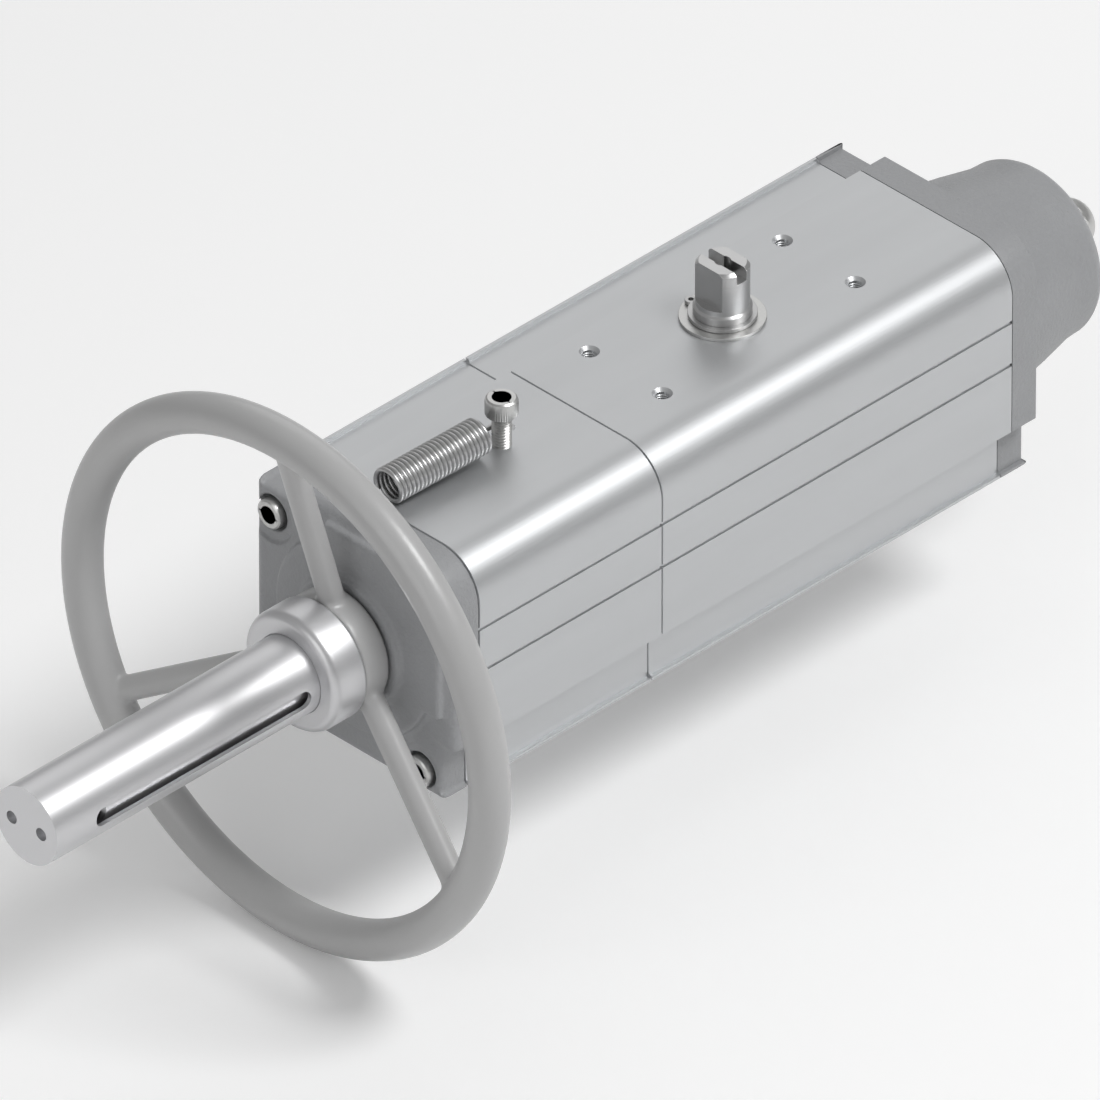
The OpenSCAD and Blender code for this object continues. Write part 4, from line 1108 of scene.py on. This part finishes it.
class ACTUATOR_OT_threads(bpy.types.Operator):
    """Cuts the visible threads of the tapped holes"""

    bl_idname = "actuator.threads"
    bl_label = "Tapped holes"

    def execute(self, context):
        sizes = context.scene.actuator_housing
        holes = context.scene.actuator_holes
        bm = bmesh.new()
        down = Matrix.Rotation(math.pi / 2, 4, "Y")
        up = Matrix.Rotation(-math.pi / 2, 4, "Y")
        inwards = Matrix.Rotation(-math.pi / 2, 4, "Z")
        m5_pitch, m6_pitch, m8_pitch, port_pitch = 0.8, 1, 1.25, 1.337
        top_depth, screw_depth, m6_depth, m8_depth, port_depth = 3.4, 4.4, 8, 11, 7
        for x in (-1, 1):
            for other in (-1, 1):
                place = (x * holes.top_length / 2, other * holes.top_width / 2, housing_high.z - 1)
                self.tap(bm, place, down, holes.m5_radius, m5_pitch, top_depth)
                place = (
                    x * holes.port_screw_length / 2, sizes.back,
                    sizes.axis_height + other * holes.port_screw_height / 2)
                self.tap(bm, place, inwards, holes.m5_radius, m5_pitch, screw_depth)
                for circle_size, radius, pitch, depth in (
                        (holes.small_circle, holes.m6_radius, m6_pitch, m6_depth),
                        (holes.large_circle, holes.m8_radius, m8_pitch, m8_depth)):
                    reach = circle_size / 2 * math.sqrt(0.5)
                    self.tap(bm, (x * reach, other * reach, 0), up, radius, pitch, depth)
            place = (x * holes.port_spacing / 2, sizes.back, sizes.axis_height)
            self.tap(bm, place, inwards, holes.port_radius, port_pitch, port_depth)
        bmesh.ops.recalc_face_normals(bm, faces=bm.faces)
        smooth_by_angle(bm, 20)
        finish_piece(bm, "tapped_threads", "housing", "machined_alloy")
        return {"FINISHED"}

    def tap(self, bm, place, turn, radius, pitch, depth):
        """Adds the ridge of a tapped hole that starts at a place and runs along the turned X axis."""
        ridge = thread(radius + 0.05, radius - 0.3 * pitch, pitch, depth)
        merge(bm, ridge, Matrix.Translation(place) @ turn)


class ACTUATOR_OT_inner_pieces(bpy.types.Operator):
    """Gives the pieces inside the housings their finishes"""

    bl_idname = "actuator.inner_pieces"
    bl_label = "Inner pieces"

    def execute(self, context):
        finishes = {
            "zinc_plate": ("stop_screw", "guide_nut", "hub_key"),
            "moulded_rubber": (
                "stop_washer", "right_cap_ring", "bulkhead_ring", "rod_seal", "cover_ring",
                "shaft_rings", "left_piston_ring", "right_piston_ring"),
            "machined_alloy": ("bulkhead", "left_piston", "right_piston", "guide_disc"),
            "bearing_plastic": (
                "lower_bush", "upper_bush", "left_piston_band", "right_piston_band",
                "left_rack_pad", "right_rack_pad"),
            "turned_steel": ("nut_retainer", "stem", "push_rod", "guide_key"),
            "cast_bronze": ("drive_nut", "thrust_washers"),
        }
        for finish, nodes in finishes.items():
            for node in nodes:
                plain_finish(node, finish)
        return {"FINISHED"}


class ACTUATOR_OT_stage(bpy.types.Operator):
    """Sets up the floor, the soft lights and the camera"""

    bl_idname = "actuator.stage"
    bl_label = "Stage"

    def execute(self, context):
        self.lay_floor(context)
        self.hang_lights()
        self.set_camera(context)
        settings = context.scene.view_settings
        settings.view_transform = "Standard"
        return {"FINISHED"}

    def lay_floor(self, context):
        """Lays a pale floor under the model, a little lifted in tone for the camera."""
        colour = context.scene.actuator_colours.floor
        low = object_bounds()[0]
        camera_lift = 0.1
        bm = bmesh.new()
        bmesh.ops.create_grid(bm, x_segments=1, y_segments=1, size=6)
        bmesh.ops.translate(bm, vec=(0, 0, low.z), verts=bm.verts)
        mesh = mesh_of(bm, "studio_floor", 1.0)
        floor = bpy.data.objects.new("studio_floor", mesh)
        context.scene.collection.objects.link(floor)
        paper = Finish("studio_paper", metallic=0.0, roughness=0.9)
        paper.shader.inputs["Base Color"].default_value = (*colour, 1)
        paper.shader.inputs["Emission Color"].default_value = (1, 1, 1, 1)
        seen = paper.add("ShaderNodeLightPath", {}, {}, "Is Camera Ray")
        paper.feed(paper.shader.inputs["Emission Strength"], seen * camera_lift)
        mesh.materials.append(paper.material)
        floor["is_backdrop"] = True

    def hang_lights(self):
        """Hangs three soft lamps, by name, place and size in metres and power in watts."""
        lights = (
            ("key_light", (0.7, -1.4, 2.3), 1.1, 42),
            ("left_light", (-1.9, -0.3, 0.8), 1.3, 5),
            ("top_light", (1.6, 1.5, 1.7), 2.2, 8),
        )
        target = Vector((-0.06, 0, 0.04))
        for name, place, size, power in lights:
            lamp = bpy.data.lights.new(name, "AREA")
            lamp.shape = "DISK"
            lamp.size = size
            lamp.energy = power
            holder = bpy.data.objects.new(name, lamp)
            bpy.context.scene.collection.objects.link(holder)
            holder.location = place
            holder.rotation_mode = "QUATERNION"
            holder.rotation_quaternion = (target - Vector(place)).to_track_quat("-Z", "Y")
        world = bpy.data.worlds.new("studio")
        world.use_nodes = True
        bpy.context.scene.world = world
        background = world.node_tree.nodes["Background"]
        background.inputs["Color"].default_value = (1, 1, 1, 1)
        rays = world.node_tree.nodes.new("ShaderNodeLightPath")
        seen = Signal(world.node_tree, rays.outputs["Is Camera Ray"])
        sky = 0.32
        world.node_tree.links.new((sky + seen * (1 - sky)).socket, background.inputs["Strength"])

    def set_camera(self, context):
        """Looks along the drawing's isometric direction from far away."""
        data = bpy.data.cameras.new("catalogue_camera")
        camera = bpy.data.objects.new("catalogue_camera", data)
        context.scene.collection.objects.link(camera)
        data.sensor_width = 36
        data.lens = 1500
        view_width = 321.35 * MM
        target = Vector((-63.47, 7.82, 25.85)) * MM
        forward = Vector((1, 1, -1)).normalized()
        distance = view_width * data.lens / data.sensor_width
        camera.location = target - forward * distance
        camera.rotation_mode = "QUATERNION"
        camera.rotation_quaternion = forward.to_track_quat("-Z", "Y")
        data.clip_start = 0.1
        data.clip_end = 100
        context.scene.camera = camera


class ACTUATOR_PT_pieces(bpy.types.Panel):
    """Lists the actuator's operators"""

    bl_idname = "ACTUATOR_PT_pieces"
    bl_label = "Quarter-turn actuator"
    bl_space_type = "VIEW_3D"
    bl_region_type = "UI"
    bl_category = "Actuator"

    def draw(self, context):
        for operator in OPERATORS:
            self.layout.operator(operator.bl_idname)
        for group in PROPERTIES:
            box = self.layout.box()
            for key in getattr(context.scene, group).__annotations__:
                box.prop(getattr(context.scene, group), key)


OPERATORS = (
    ACTUATOR_OT_housings,
    ACTUATOR_OT_right_cap,
    ACTUATOR_OT_left_cover,
    ACTUATOR_OT_handwheel,
    ACTUATOR_OT_cover_tube,
    ACTUATOR_OT_shaft,
    ACTUATOR_OT_stop_nut,
    ACTUATOR_OT_screws,
    ACTUATOR_OT_spring,
    ACTUATOR_OT_threads,
    ACTUATOR_OT_inner_pieces,
    ACTUATOR_OT_stage,
)
PROPERTIES = {
    "actuator_housing": ActuatorHousingSizes,
    "actuator_casting": ActuatorCastingSizes,
    "actuator_wheel": ActuatorHandwheelSizes,
    "actuator_fasteners": ActuatorFastenerSizes,
    "actuator_holes": ActuatorTappedHoles,
    "actuator_colours": ActuatorFinishColours,
}


def register():
    """Registers the sizes, the operators and the panel."""
    for name, group in PROPERTIES.items():
        bpy.utils.register_class(group)
        setattr(bpy.types.Scene, name, bpy.props.PointerProperty(type=group))
    for operator in OPERATORS:
        bpy.utils.register_class(operator)
    bpy.utils.register_class(ACTUATOR_PT_pieces)


def unregister():
    """Takes the panel, the operators and the sizes away again."""
    bpy.utils.unregister_class(ACTUATOR_PT_pieces)
    for operator in reversed(OPERATORS):
        bpy.utils.unregister_class(operator)
    for name, group in PROPERTIES.items():
        delattr(bpy.types.Scene, name)
        bpy.utils.unregister_class(group)


def main():
    """Builds every piece."""
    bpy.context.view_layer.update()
    register()
    bpy.ops.actuator.housings()
    bpy.ops.actuator.right_cap()
    bpy.ops.actuator.left_cover()
    bpy.ops.actuator.handwheel()
    bpy.ops.actuator.cover_tube()
    bpy.ops.actuator.shaft()
    bpy.ops.actuator.stop_nut()
    bpy.ops.actuator.screws()
    bpy.ops.actuator.spring()
    bpy.ops.actuator.threads()
    bpy.ops.actuator.inner_pieces()
    bpy.ops.actuator.stage()


if __name__ == "__main__":
    main()
